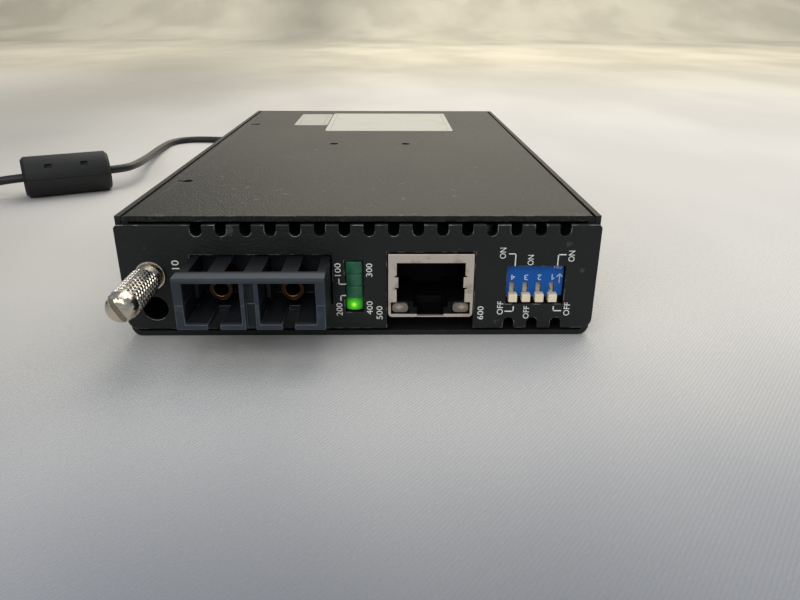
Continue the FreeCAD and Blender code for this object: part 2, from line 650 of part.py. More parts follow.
notch, notch_line = panel_pocket("top_notch", first_notch)
row_of(panel, notch, notch_line, "H_Axis", "notch_count", "notch_pitch", "top_notches")
notch, notch_line = panel_pocket("lower_notch", first_lower_notch)
row_of(panel, notch, notch_line, "H_Axis", "lower_notch_count", "lower_notch_pitch",
       "lower_notches")


def openings(drawn):
    gap = "optic_clearance"
    outline(drawn, (f"{OPTIC_LEFT} - {gap}", f"optic_height - {gap} * 2"),
            (f"{OPTIC_RIGHT} + {gap}", f"{OPTIC_TOP} - optic_step + {gap}"))
    gap = "light_clearance"
    outline(drawn, (f"{LIGHT_LEFT} - {gap}", f"light_floor - {gap} * 2"),
            (f"{LIGHT_RIGHT} + {gap}", f"{LIGHT_TOP} + {gap}"))
    gap = "jack_clearance"
    outline(drawn, (f"{JACK_LEFT} - {gap}", "sheet_gauge"),
            (f"{JACK_RIGHT} + {gap}", f"{JACK_TOP} + {gap}"))
    outline(drawn, ("window_left", "window_floor"), ("window_right", "window_top"))
    ring_line(drawn, (SCREW_X, "screw_height"), "ferrule_body")
    ring_line(drawn, (SCREW_X, "spare_hole_height"), "spare_hole_bore")


panel_pocket("openings", openings)

# Panel screws: pan heads under the board, shanks up through board and tab.
panel_screws = []
for x in TABS:
    head = rod("panel_screw_head", "panel_screw_head_tall",
               (x, TAB_SCREW_Y, "board_height - panel_screw_head_tall"))
    shank = rod("panel_screw_bore - thread_gap", "panel_screw_long - panel_screw_head_tall",
                (x, TAB_SCREW_Y, "board_height"))
    panel_screws.append(fuse(head, shank))
node(group(*panel_screws), "panel_screws")

# ---------------------------------------------------------------- duplex optical receptacle

def port_cuts(mid):
    """One port: its mouth, the key way in the floor and two windows beside the middle rib."""
    wide = "port_width / 2"
    mouth = box((f"{mid} - {wide}", f"{OPTIC_FACE} - overcut", PORT_FOOT),
                (f"{mid} + {wide}", f"{OPTIC_FACE} + port_deep", f"{PORT_FOOT} + port_tall"))
    key_way = box((f"{mid} - key_cut_width / 2", f"{OPTIC_FACE} - overcut",
                   "optic_height - overcut"),
                  (f"{mid} + key_cut_width / 2", f"{OPTIC_FACE} + key_cut_long",
                   f"{PORT_FOOT} + overcut"))
    start = f"({OPTIC_FACE} + optic_bar)"
    windows = []
    for near, far in ((f"{mid} - {wide}", f"{mid} - rib_width / 2"),
                      (f"{mid} + rib_width / 2", f"{mid} + {wide}")):
        windows.append(box((near, start, f"{PORT_FOOT} + port_tall - overcut"),
                           (far, f"{start} + window_long", f"{OPTIC_TOP} + overcut")))
    return [mouth, key_way, *windows]


shell = box((OPTIC_LEFT, OPTIC_FACE, "optic_height"), (OPTIC_RIGHT, OPTIC_BACK, OPTIC_TOP))
step = box((f"{OPTIC_LEFT} - overcut", f"{OPTIC_FACE} + optic_bar", f"{OPTIC_TOP} - optic_step"),
           (f"{OPTIC_RIGHT} + overcut", f"{OPTIC_BACK} + overcut", f"{OPTIC_TOP} + overcut"))
recess = box((f"{OPTIC_MID} - divider_recess / 2", f"{OPTIC_FACE} - overcut",
              "optic_height - overcut"),
             (f"{OPTIC_MID} + divider_recess / 2", f"{OPTIC_FACE} + divider_setback",
              f"{OPTIC_TOP} - port_floor"))
bores = [rod("sleeve_outer + thread_gap", "optic_nose",
             (mid, f"{OPTIC_FACE} + overcut", PORT_AXIS), "y") for mid in PORT_MIDS]
moulding = cut(shell, step, recess, *bores, *(c for mid in PORT_MIDS for c in port_cuts(mid)))
lower_half = box((f"{OPTIC_LEFT} - overcut", f"{OPTIC_FACE} - overcut", "optic_height - overcut"),
                 (f"{OPTIC_RIGHT} + overcut", f"{OPTIC_BACK} + overcut", "optic_seam"))
upper_half = box((f"{OPTIC_LEFT} - overcut", f"{OPTIC_FACE} - overcut", "optic_seam"),
                 (f"{OPTIC_RIGHT} + overcut", f"{OPTIC_BACK} + overcut", f"{OPTIC_TOP} + overcut"))
node(common(moulding, lower_half), "sc_lower_shell")
node(common(moulding, upper_half), "sc_upper_shell")

# Alignment sleeves: turned, with a collar that the transceiver holds against the shell.
sleeves = []
for mid in PORT_MIDS:
    tip = f"({OPTIC_FACE} + sleeve_recess)"
    tube = rod("sleeve_outer", f"{OPTIC_BACK} - {tip}", (mid, tip, PORT_AXIS), "y")
    collar = rod("sleeve_flange", "sleeve_flange_thick", (mid, OPTIC_BACK, PORT_AXIS), "y")
    bore = rod("sleeve_inner", f"{OPTIC_BACK} - sleeve_floor - {tip} + overcut",
               (mid, f"{tip} - overcut", PORT_AXIS), "y")
    sleeves.append(cut(fuse(tube, collar), bore))
node(group(*sleeves), "optical_sleeves")

# Latch clips: two springy arms in each port that catch the plug's shoulders.
clips = []
for mid in PORT_MIDS:
    for side in (-1, 1):
        inner = f"({mid} + {side} * (port_width / 2 - latch_inset))"
        outer = f"({mid} + {side} * (port_width / 2 - latch_inset + latch_gauge))"
        near, far = (inner, outer) if side > 0 else (outer, inner)
        back = f"({OPTIC_FACE} + port_deep)"
        arm = box((near, f"{back} - latch_long", f"{PORT_AXIS} - latch_tall / 2"),
                  (far, back, f"{PORT_AXIS} + latch_tall / 2"))
        clips.append(arm)
node(group(*clips), "sc_latch_clips")

# Transceiver: a sealed block behind the receptacle, hollowed for the sleeves' collars.
BOX_FRONT = OPTIC_BACK
block = box((OPTIC_LEFT, BOX_FRONT, "optic_height"),
            (OPTIC_RIGHT, f"{BOX_FRONT} + box_long", "board_height"))
collar_seats = [rod("sleeve_flange + thread_gap", "sleeve_flange_thick",
                    (mid, BOX_FRONT, PORT_AXIS), "y") for mid in PORT_MIDS]
node(cut(block, *collar_seats), "transceiver_box")

# ---------------------------------------------------------------- light stack

# Four flat lamps stacked in a black holder on the board.
for i in range(4):
    floor = f"(light_floor + {i} * light_pitch + light_gap / 2)"
    top = f"(light_floor + {i + 1} * light_pitch - light_gap / 2)"
    lamp = box((LIGHT_LEFT, f"{LIGHT_FACE} + light_dome", floor),
               (LIGHT_RIGHT, f"{LIGHT_FACE} + light_long", top))
    dome_radius = "(light_width * light_width / 8 / light_dome + light_dome / 2)"
    dome = rod(dome_radius, "light_pitch - light_gap",
               ("-light_across", f"{LIGHT_FACE} + {dome_radius}", floor))
    front = box((LIGHT_LEFT, f"{LIGHT_FACE} - overcut", floor),
                (LIGHT_RIGHT, f"{LIGHT_FACE} + light_dome", top))
    node(fuse(lamp, common(dome, front)), f"led_{i + 1}")
HOLDER_FRONT = f"({PANEL_BACK} + holder_wall)"
holder = box((f"{LIGHT_LEFT} - holder_wall", HOLDER_FRONT, "light_floor - holder_wall"),
             (f"{LIGHT_RIGHT} + holder_wall", f"{HOLDER_FRONT} + holder_long", "board_height"))
hollow = box((f"{LIGHT_LEFT}", f"{HOLDER_FRONT} - overcut", "light_floor"),
             (f"{LIGHT_RIGHT}", f"{LIGHT_FACE} + light_long", LIGHT_TOP))
node(cut(holder, hollow), "led_holder")

# ---------------------------------------------------------------- network jack

IN = "jack_gauge"
JACK_MID = "jack_across"
MOUTH_LEFT = f"({JACK_LEFT} + jack_side_bar)"
MOUTH_RIGHT = f"({JACK_RIGHT} - jack_side_bar)"
MOUTH_TOP = f"({JACK_TOP} - jack_top_bar)"
STRIP_TOP = f"({JACK_FOOT} + jack_foot_strip)"
SILL = f"({STRIP_TOP} + jack_sill)"
LAMP_FOOT = f"({STRIP_TOP} + jack_sill / 2 - jack_lamp_tall / 2)"
LAMP_LEFTS = [f"({JACK_LEFT} + jack_edge_strip + jack_lamp_edge)",
              f"({JACK_RIGHT} - jack_edge_strip - jack_lamp_edge - jack_lamp_width)"]
JACK_REAR = f"({JACK_FACE} + jack_long)"
TAB_FLOOR = f"({JACK_FOOT} + jack_tab_floor)"
TAB_TOP = f"({TAB_FLOOR} + jack_tab_tall)"


def lamp_block(left, gap, front, long):
    """A lamp's rounded bar, or the hole round it when the gap isn't nothing."""
    bar = box((f"{left} - {gap}", front, f"{LAMP_FOOT} - {gap}"),
              (f"{left} + jack_lamp_width + {gap}", f"{front} + {long}",
               f"{LAMP_FOOT} + jack_lamp_tall + {gap}"))
    return rounded(bar, "jack_lamp_round", along(1))


def through_front(low, high):
    """Cuts the shield's front wall between two corners of (across, height)."""
    return box((low[0], f"{JACK_FACE} - overcut", low[1]),
               (high[0], f"{JACK_FACE} + jack_gauge * 2", high[1]))


def foot_corner(edge):
    return along(1)(edge) and edge.BoundBox.ZMax < number(SILL)


# Shield: drawn tin-plated box with rounded lower corners. Its front is open at the mouth and,
# between two edge strips, at the lamps' level. A sprung tab stands out of each side bar.
can = rounded(box((JACK_LEFT, JACK_FACE, JACK_FOOT), (JACK_RIGHT, JACK_REAR, JACK_TOP)),
              "jack_corner", foot_corner)
inside = box((f"{JACK_LEFT} + {IN}", f"{JACK_FACE} + {IN}", f"{JACK_FOOT} + {IN}"),
             (f"{JACK_RIGHT} - {IN}", f"{JACK_REAR} - {IN}", f"{JACK_TOP} + overcut"))
front_cuts = [
    through_front((MOUTH_LEFT, TAB_TOP), (MOUTH_RIGHT, MOUTH_TOP)),
    through_front((f"{MOUTH_LEFT} + jack_tab_reach", TAB_FLOOR),
                  (f"{MOUTH_RIGHT} - jack_tab_reach", TAB_TOP)),
    through_front((MOUTH_LEFT, SILL), (MOUTH_RIGHT, TAB_FLOOR)),
    through_front((f"{JACK_LEFT} + jack_edge_strip", STRIP_TOP),
                  (f"{JACK_RIGHT} - jack_edge_strip", SILL)),
    through_front((f"{JACK_MID} - jack_key_width / 2", f"{JACK_FOOT} + {IN}"),
                  (f"{JACK_MID} + jack_key_width / 2", STRIP_TOP)),
]
for slit in (f"({TAB_FLOOR} - jack_tab_slit)", TAB_TOP):
    front_cuts.append(through_front((f"{MOUTH_LEFT} - jack_tab_cut", slit),
                                    (MOUTH_LEFT, f"{slit} + jack_tab_slit")))
    front_cuts.append(through_front((MOUTH_RIGHT, slit),
                                    (f"{MOUTH_RIGHT} + jack_tab_cut", f"{slit} + jack_tab_slit")))
node(cut(can, inside, *front_cuts), "jack_shield")

# Insert: black moulding that forms the mouth, its stair and its key way, and holds the contacts
# and the two lamps.
insert = box((f"{JACK_LEFT} + {IN}", f"{JACK_FACE} + {IN}", f"{JACK_FOOT} + {IN}"),
             (f"{JACK_RIGHT} - {IN}", f"{JACK_REAR} - {IN}", JACK_TOP))
mouth = box((MOUTH_LEFT, JACK_FACE, SILL),
            (MOUTH_RIGHT, f"{JACK_FACE} + jack_mouth_deep", MOUTH_TOP))
stair = box((f"{JACK_MID} - jack_stair_width / 2", JACK_FACE, f"{STRIP_TOP} + jack_step"),
            (f"{JACK_MID} + jack_stair_width / 2", f"{JACK_FACE} + jack_mouth_deep",
             f"{SILL} + overcut"))
key_way = box((f"{JACK_MID} - jack_key_width / 2", JACK_FACE, JACK_FOOT),
              (f"{JACK_MID} + jack_key_width / 2", f"{JACK_FACE} + jack_key_deep",
               f"{SILL} + overcut"))
recesses = [box((f"{left} - jack_lamp_edge", JACK_FACE, STRIP_TOP),
                (f"{left} + jack_lamp_width + jack_lamp_edge",
                 f"{JACK_FACE} + {IN} + jack_lamp_recess", SILL)) for left in LAMP_LEFTS]
lamp_seats = [lamp_block(left, "thread_gap", JACK_FACE, "jack_lamp_long + jack_gauge")
              for left in LAMP_LEFTS]
node(cut(insert, mouth, stair, key_way, *recesses, *lamp_seats), "jack_insert")
lamps = [lamp_block(left, "0", f"({JACK_FACE} + {IN} / 2)", "jack_lamp_long")
         for left in LAMP_LEFTS]
node(group(*lamps), "jack_leds")

# Contacts: eight gold springs that slope back from the mouth's roof.
contacts = []
for i in range(SIZES["contact_count"]):
    x = f"(jack_across + ({i} - (contact_count - 1) / 2) * contact_pitch - contact_wide / 2)"
    back = f"({JACK_FACE} + jack_mouth_deep)"
    strip = doc.addObject("Part::Wedge", "Contact")
    bind(strip, "Xmax", "contact_wide")
    bind(strip, "X2max", "contact_wide")
    bind(strip, "Ymax", "contact_long")
    bind(strip, "Zmax", "contact_drop")
    strip.Xmin = 0
    strip.Ymin = 0
    strip.Zmin = 0
    strip.X2min = 0
    bind(strip, "Z2min", "0")
    bind(strip, "Z2max", "contact_thick")
    place(strip, (x, f"{back} - contact_long", f"{MOUTH_TOP} - contact_drop"))
    contacts.append(strip)
contacts_group = group(*contacts)
node(contacts_group, "jack_contacts")

# ---------------------------------------------------------------- four-way switch

WAYS = [f"(switch_across + ({i} - 1.5) * way_pitch)" for i in range(4)]
LID_BACK = f"({LID_FACE} + lid_thick)"
SLOT_FOOT = "(slider_floor - slider_clearance)"
SLOT_TOP = "(slider_floor + slider_tall + slider_travel + slider_clearance)"
PLATE_FRONT = f"({LID_BACK} + slider_clearance)"
PLATE_BACK = f"({PLATE_FRONT} + plate_thick)"
PLATE_TOP = "(slider_floor + slider_tall + slider_travel + plate_lap)"

# Base: a black block with one chamber per way behind the lid. Lid: blue, with one slot per way.
base = box((SWITCH_LEFT, LID_BACK, "switch_floor"),
           (SWITCH_RIGHT, f"{LID_FACE} + switch_back", "board_height"))
chambers = [box((f"{x} - plate_width / 2 - slider_clearance", f"{LID_BACK} - overcut", SLOT_FOOT),
                (f"{x} + plate_width / 2 + slider_clearance", f"{PLATE_BACK} + slider_clearance",
                 f"{PLATE_TOP} + slider_travel + slider_clearance")) for x in WAYS]
node(cut(base, *chambers), "dip_base")
lid = box((SWITCH_LEFT, LID_FACE, "lid_floor"), (SWITCH_RIGHT, LID_BACK, "switch_top"))
slots = [box((f"{x} - slot_width / 2", f"{LID_FACE} - overcut", SLOT_FOOT),
             (f"{x} + slot_width / 2", f"{LID_BACK} + overcut", SLOT_TOP)) for x in WAYS]
node(cut(lid, *slots), "dip_cover")


def slider_brow(edge):
    b = edge.BoundBox
    return (along(0)(edge) and b.YMax < number(LID_FACE) - number("slider_proud") / 2
            and b.ZMin > number("slider_floor + slider_tall / 2"))


# Sliders: a knob in front of the lid, a stem through its slot, and a plate that closes the slot
# from behind.
for i, x in enumerate(WAYS):
    knob = box((f"{x} - slider_width / 2", f"{LID_FACE} - slider_proud", "slider_floor"),
               (f"{x} + slider_width / 2", f"{LID_FACE} - slider_clearance",
                "slider_floor + slider_tall"))
    stem = box((f"{x} - slot_width / 2 + slider_clearance", f"{LID_FACE} - slider_proud / 2",
                "slider_floor + slider_clearance"),
               (f"{x} + slot_width / 2 - slider_clearance", f"{PLATE_FRONT} + plate_thick / 2",
                "slider_floor + slider_tall - slider_clearance"))
    back_plate = box((f"{x} - plate_width / 2", PLATE_FRONT, "slider_floor"),
                     (f"{x} + plate_width / 2", PLATE_BACK, PLATE_TOP))
    node(fuse(rounded(knob, "slider_bevel", slider_brow), stem, back_plate),
         f"dip_slider_{i + 1}")

# ---------------------------------------------------------------- captive thumbscrew

def stand_out(owner, depth, turn="0"):
    """Turns a body about its own Z axis, then lays it down so that Z points out of the panel."""
    place(owner, (SCREW_X, depth, "screw_height"))
    laid = FreeCAD.Rotation(FreeCAD.Vector(1, 0, 0), 90)
    own = FreeCAD.Rotation(FreeCAD.Vector(0, 0, 1), number(turn))
    owner.Placement.Rotation = laid.multiply(own)


# Ferrule: pressed into the panel, its flange in front.
ferrule = body("screw_ferrule")
turned(ferrule, [
    ("ferrule_bore", "0"), ("ferrule_body - thread_gap", "0"),
    ("ferrule_body - thread_gap", "panel_gauge"), ("ferrule_flange", "panel_gauge"),
    ("ferrule_flange", "panel_gauge + ferrule_flange_thick"),
    ("ferrule_bore", "panel_gauge + ferrule_flange_thick"),
], "ferrule")
stand_out(ferrule, PANEL_BACK)

# Thumbscrew: knurled barrel, plain end with a driver slot, and a shank with a ring groove.
GROOVE_Z = f"({KNOB_BACK} - {PANEL_BACK} - ring_clearance)"
TIP_Z = f"({KNOB_BACK} - {PANEL_BACK} - shank_tip)"
KNOB_TIP = "(knob_long + knob_end_long)"
knob = body("thumbscrew")
turned(knob, [
    ("0", TIP_Z), ("shank_radius - crest_gap", TIP_Z), ("shank_radius", f"{TIP_Z} + crest_gap"),
    ("shank_radius", f"{GROOVE_Z} - ring_thick - thread_gap"),
    ("groove_radius", f"{GROOVE_Z} - ring_thick - thread_gap"),
    ("groove_radius", f"{GROOVE_Z} + thread_gap"), ("shank_radius", f"{GROOVE_Z} + thread_gap"),
    ("shank_radius", "0"), ("knob_radius - crest_gap", "0"), ("knob_radius", "crest_gap"),
    ("knob_radius", "knob_long"), ("knob_end_radius", "knob_long + knob_neck"),
    ("knob_end_radius", f"{KNOB_TIP} - knob_nose"),
    ("knob_end_radius - knob_nose_bevel", f"{KNOB_TIP} - knob_nose_bevel"),
    ("knob_end_radius - knob_nose", KNOB_TIP), ("0", KNOB_TIP),
], "screw_profile")
drawn = sketch(knob, "XY_Plane", "driver_slot_outline", KNOB_TIP)
outline(drawn, ("-knob_radius * 2", "-knob_slot / 2"), ("knob_radius * 2", "knob_slot / 2"))
pocket(knob, drawn, "driver_slot", "knob_slot_deep")
stand_out(knob, KNOB_BACK, "knob_turn")

# Retaining ring: a split washer in the shank's groove, which keeps the screw in the panel.
ring = rod("ring_radius", "ring_thick", (SCREW_X, f"{PANEL_BACK} + ring_clearance",
                                         "screw_height"), "y")
ring_hole = rod("groove_radius + thread_gap", "ring_thick + overcut * 2",
                (SCREW_X, f"{PANEL_BACK} + ring_clearance - overcut", "screw_height"), "y")
ring_split = box((f"{SCREW_X} - groove_radius * 0.8", f"{PANEL_BACK} - overcut", "screw_height"),
                 (f"{SCREW_X} + groove_radius * 0.8", f"{PANEL_BACK} + overcut * 2",
                  "screw_height + ring_radius + overcut"))
node(cut(ring, ring_hole, ring_split), "retaining_ring")

# Spring: open coils between ferrule and knob that push the screw out of its thread.
coils = []
for i in range(SIZES["spring_turns"]):
    share = f"(({i} + 0.5) / spring_turns)"
    start = (SCREW_X, f"{KNOB_BACK} + spring_length * {share} - spring_wire", "screw_height")
    coils.append(cut(rod("spring_radius + spring_wire", "spring_wire * 2", start, "y"),
                     rod("spring_radius - spring_wire", "spring_wire * 2", start, "y")))
node(group(*coils), "screw_spring")

# ---------------------------------------------------------------- parts on the board

def under_board(label, middle, wide, long, tall):
    """A plain package soldered under the board, its middle at two expressions."""
    x, y = middle
    low = (f"{x} - {wide} / 2", f"{y} - {long} / 2", f"board_height - {tall}")
    high = (f"{x} + {wide} / 2", f"{y} + {long} / 2", "board_height")
    return box(low, high) if label is None else node(box(low, high), label)


def leaded_chip(label, middle, wide, tall, legs):
    """A square chip with a row of bent legs on each side, joined as one solid."""
    x, y = middle
    block = box((f"{x} - {wide} / 2", f"{y} - {wide} / 2", f"board_height - {tall}"),
                (f"{x} + {wide} / 2", f"{y} + {wide} / 2", "board_height - chip_lift"))
    reach = f"({wide} / 2 + leg_reach)"
    parts = [block]
    for i in range(legs):
        at = f"({i} - {(legs - 1) / 2}) * leg_pitch"
        parts.append(box((f"{x} - {reach}", f"{y} + {at} - leg_pitch / 4",
                          "board_height - chip_lift * 3"),
                         (f"{x} + {reach}", f"{y} + {at} + leg_pitch / 4", "board_height")))
        parts.append(box((f"{x} + {at} - leg_pitch / 4", f"{y} - {reach}",
                          "board_height - chip_lift * 3"),
                         (f"{x} + {at} + leg_pitch / 4", f"{y} + {reach}", "board_height")))
    node(fuse(*parts), label)


under_board("lan_transformer",
            (JACK_MID, f"({JACK_REAR} + transformer_gap + transformer_long / 2)"),
            "transformer_wide", "transformer_long", "transformer_tall")
leaded_chip("converter_chip", ("big_chip_across", "big_chip_rear"), "big_chip",
            "big_chip_tall", 9)
leaded_chip("port_chip", ("small_chip_across", "small_chip_rear"), "small_chip",
            "small_chip_tall", 4)
crystal_body = under_board(None, ("crystal_across", "crystal_rear"), "crystal_wide",
                           "crystal_long", "crystal_tall")
node(rounded(crystal_body, "crystal_end", along(2)), "crystal")
cans = []
for i in (-1, 0, 1):
    x = f"(can_across + {i} * can_pitch)"
    can_body = rod("can_radius", "can_tall - can_base", (x, "can_rear", "board_height - can_tall"))
    foot = box((f"{x} - can_radius", "can_rear - can_radius", "board_height - can_base"),
               (f"{x} + can_radius", "can_rear + can_radius", "board_height"))
    cans.append(fuse(can_body, foot))
node(group(*cans), "capacitors")
regulator_body = under_board(None, ("regulator_across", "regulator_rear"), "regulator_wide",
                             "regulator_long", "regulator_tall")
regulator_tab = under_board(None, ("regulator_across", "(regulator_rear + regulator_tab_long)"),
                            "regulator_tab", "(regulator_tab_long * 2)", "regulator_tab_tall")
node(fuse(regulator_body, regulator_tab), "regulator")

# Power inlet: moulded socket at the board's rear edge, its pin on the plug's axis.
INLET_REAR = f"({REAR} - sheet_gauge - inlet_rear_gap)"
INLET_FRONT = f"({INLET_REAR} - inlet_long)"
housing = box((f"{INLET_X} - inlet_width / 2", INLET_FRONT, "board_height - inlet_tall"),
              (f"{INLET_X} + inlet_width / 2", INLET_REAR, "board_height"))
inlet_bore = rod("inlet_bore", "inlet_long", (INLET_X, f"{INLET_FRONT} + inlet_floor", INLET_Z),
                 "y")
pin_seat = rod("inlet_pin", "inlet_floor + overcut * 2",
               (INLET_X, f"{INLET_FRONT} - overcut", INLET_Z), "y")
node(cut(housing, inlet_bore, pin_seat), "power_jack")
node(rod("inlet_pin", "inlet_floor + inlet_pin_long", (INLET_X, INLET_FRONT, INLET_Z), "y"),
     "power_jack_pin")

# ---------------------------------------------------------------- power lead

PLUG_FRONT = f"({REAR} + plug_gap)"
PLUG_TIP = f"({PLUG_FRONT} + plug_long + relief_long)"

# Plug: overmoulded body that tapers into its relief, and a bored barrel in the inlet.
plug = body("plug_body")
turned(plug, [
    ("0", "0"), ("plug_radius - plug_edge", "0"), ("plug_radius", "plug_edge"),
    ("plug_radius", "plug_straight"), ("relief_base", "plug_long"),
    ("relief_tip", "plug_long + relief_long"), ("0", "plug_long + relief_long"),
], "moulding")
place(plug, (INLET_X, PLUG_FRONT, INLET_Z), (1, 0, 0), -90)
BARREL_TIP = f"({INLET_REAR} - barrel_long)"
barrel = rod("barrel_radius", f"{PLUG_FRONT} - {BARREL_TIP}", (INLET_X, BARREL_TIP, INLET_Z), "y")
barrel_hole = rod("barrel_bore", "barrel_long + sheet_gauge",
                  (INLET_X, f"{BARREL_TIP} - sheet_gauge", INLET_Z), "y")
node(cut(barrel, barrel_hole), "plug_barrel")

# Clamp: a snap-on case of two hinged halves round the lead, each with half of a ferrite core.
# Its pieces are made along X about the origin, then laid on the lead.
HALF_CLAMP = "(clamp_long / 2)"
HINGE_Y = "(clamp_radius + knuckle_radius + knuckle_gap)"


def on_lead(made, label):
    place(made, ("-clamp_across", "clamp_rear", "clamp_radius"), (0, 0, 1), number("clamp_turn"))
    return node(made, label)


def half_space(upper):
    """Everything on one side of the seam."""
    if upper:
        return box(("-clamp_long", "-clamp_long", "seam_gap / 2"), ("clamp_long",) * 3)
    return box(("-clamp_long",) * 3, ("clamp_long", "clamp_long", "-seam_gap / 2"))


def knuckle(start, end, upper):
    """One barrel of the hinge, with the leaf that joins it to its half."""
    pin = rod("knuckle_radius", f"{end} - {start}", (start, HINGE_Y, "0"), "x")
    low, high = ("seam_gap / 2", "knuckle_radius") if upper else ("-knuckle_radius", "-seam_gap / 2")
    leaf = box((start, "clamp_radius - clamp_wall", low), (end, HINGE_Y, high))
    return fuse(pin, leaf)


def case_half(upper):
    start = f"(-{HALF_CLAMP})"
    slope = "clamp_radius - clamp_bevel"
    outside = fuse(
        taper(slope, "clamp_radius", "clamp_bevel", (start, "0", "0"), "x"),
        rod("clamp_radius", "clamp_long - clamp_bevel * 2", (f"{start} + clamp_bevel", "0", "0"),
            "x"),
        taper("clamp_radius", slope, "clamp_bevel", (f"{HALF_CLAMP} - clamp_bevel", "0", "0"),
              "x"))
    room = rod("clamp_radius - clamp_wall", "clamp_long - clamp_end * 2",
               (f"-{HALF_CLAMP} + clamp_end", "0", "0"), "x")
    lead_way = rod("clamp_bore", "clamp_long * 2", ("-clamp_long", "0", "0"), "x")
    half = cut(common(outside, half_space(upper)), room, lead_way)
    third = f"({HALF_CLAMP} / 3)"
    if not upper:
        return fuse(half, knuckle(f"(-{third})", third, upper))
    windows = [box((f"{i} * latch_pitch / 2 - latch_window / 2", "-clamp_radius", "latch_height"),
                   (f"{i} * latch_pitch / 2 + latch_window / 2", "-clamp_bore * 2",
                    "latch_height + clamp_wall")) for i in (-1, 1)]
    return fuse(cut(half, *windows),
                knuckle(f"(-{third} * 2.5)", f"(-{third} - knuckle_space)", upper),
                knuckle(f"({third} + knuckle_space)", f"({third} * 2.5)", upper))


def core_half(upper):
    long = "(clamp_long - clamp_end * 2 - core_gap * 2)"
    outside = rod("clamp_radius - clamp_wall - core_gap", long, (f"-{long} / 2", "0", "0"), "x")
    lead_way = rod("core_bore", f"{long} * 2", (f"-{long}", "0", "0"), "x")
    return cut(common(outside, half_space(upper)), lead_way)


on_lead(case_half(False), "ferrite_case_lower")
on_lead(case_half(True), "ferrite_case_upper")
on_lead(core_half(False), "ferrite_core_lower")
on_lead(core_half(True), "ferrite_core_upper")

# Coil: the put-away length as one ring, its tie, and the places where the lead joins it.
COIL_FOOT = "(tie_gauge + tie_gap)"
COIL_TOP = f"({COIL_FOOT} + turns_tall * cord_radius * 2)"
COIL_OUTER = "(coil_middle + turns_wide * cord_radius)"
COIL_INNER = "(coil_middle - turns_wide * cord_radius)"
LAST_TURN = number(f"{COIL_OUTER} - cord_radius")
coil_ring = body("cord_coil")
turned(coil_ring, [
    (f"{COIL_INNER} + coil_bevel", COIL_FOOT), (f"{COIL_OUTER} - coil_bevel", COIL_FOOT),
    (COIL_OUTER, f"{COIL_FOOT} + coil_bevel"), (COIL_OUTER, f"{COIL_TOP} - coil_bevel"),
    (f"{COIL_OUTER} - coil_bevel", COIL_TOP), (f"{COIL_INNER} + coil_bevel", COIL_TOP),
    (COIL_INNER, f"{COIL_TOP} - coil_bevel"), (COIL_INNER, f"{COIL_FOOT} + coil_bevel"),
], "turns")
place(coil_ring, ("-coil_across", "coil_rear", "0"))
tie_out = box((f"{COIL_INNER} - tie_gap - tie_gauge", "-tie_width / 2", "0"),
              (f"{COIL_OUTER} + tie_gap + tie_gauge", "tie_width / 2",
               f"{COIL_TOP} + tie_gap + tie_gauge"))
tie_in = box((f"{COIL_INNER} - tie_gap", "-tie_width", "tie_gauge"),
             (f"{COIL_OUTER} + tie_gap", "tie_width", f"{COIL_TOP} + tie_gap"))
tie = cut(tie_out, tie_in)
place(tie, ("-coil_across", "coil_rear", "0"), (0, 0, 1), number("tie_turn"))
node(tie, "coil_tie")


def on_last_turn(degrees, layer):
    """A point on the coil's outermost turn, in one layer counted from the table."""
    angle = math.radians(degrees)
    return (LAST_TURN * math.cos(angle) - number("coil_across"),
            LAST_TURN * math.sin(angle) + number("coil_rear"),
            number(f"{COIL_FOOT} + cord_radius * (2 * {layer} + 1)"))


def swept(label, points, radius):
    """A round tube of straight runs joined by tangent arcs, each as large as its runs allow."""
    route = [FreeCAD.Vector(*p) for p in points]
    edges = []
    start = route[0]
    length = 0.0
    bends = []
    for before, corner, after in zip(route, route[1:], route[2:]):
        run_in, run_out = corner - before, after - corner
        half_turn = run_in.getAngle(run_out) / 2
        setback = 0.45 * min(run_in.Length, run_out.Length)
        bend = setback / math.tan(half_turn)
        bends.append(bend)
        run_in.normalize()
        run_out.normalize()
        arc_in, arc_out = corner - run_in * setback, corner + run_out * setback
        inward = (run_out - run_in).normalize()
        middle = corner + inward * (bend / math.cos(half_turn) - bend)
        edges.append(Part.LineSegment(start, arc_in).toShape())
        edges.append(Part.Arc(arc_in, middle, arc_out).toShape())
        length += (arc_in - start).Length + 2 * half_turn * bend
        start = arc_out
    edges.append(Part.LineSegment(start, route[-1]).toShape())
    length += (route[-1] - start).Length
    ring = Part.Wire(Part.Circle(route[0], route[1] - route[0], radius).toShape())
    tube = Part.Wire(edges).makePipeShell([ring], True, False, 0)
    if abs(tube.Volume / (math.pi * radius ** 2 * length) - 1) > 0.01:
        raise RuntimeError(f"{label} has volume {tube.Volume:.1f} for {length:.1f} of length")
    made = doc.addObject("Part::Feature", label)
    made.Shape = tube
    made.Placement = FreeCAD.Placement()
    node(made, label)
    print(f"{label}: length {length:.1f}, bend radii "
          + " ".join(f"{bend:.1f}" for bend in bends))


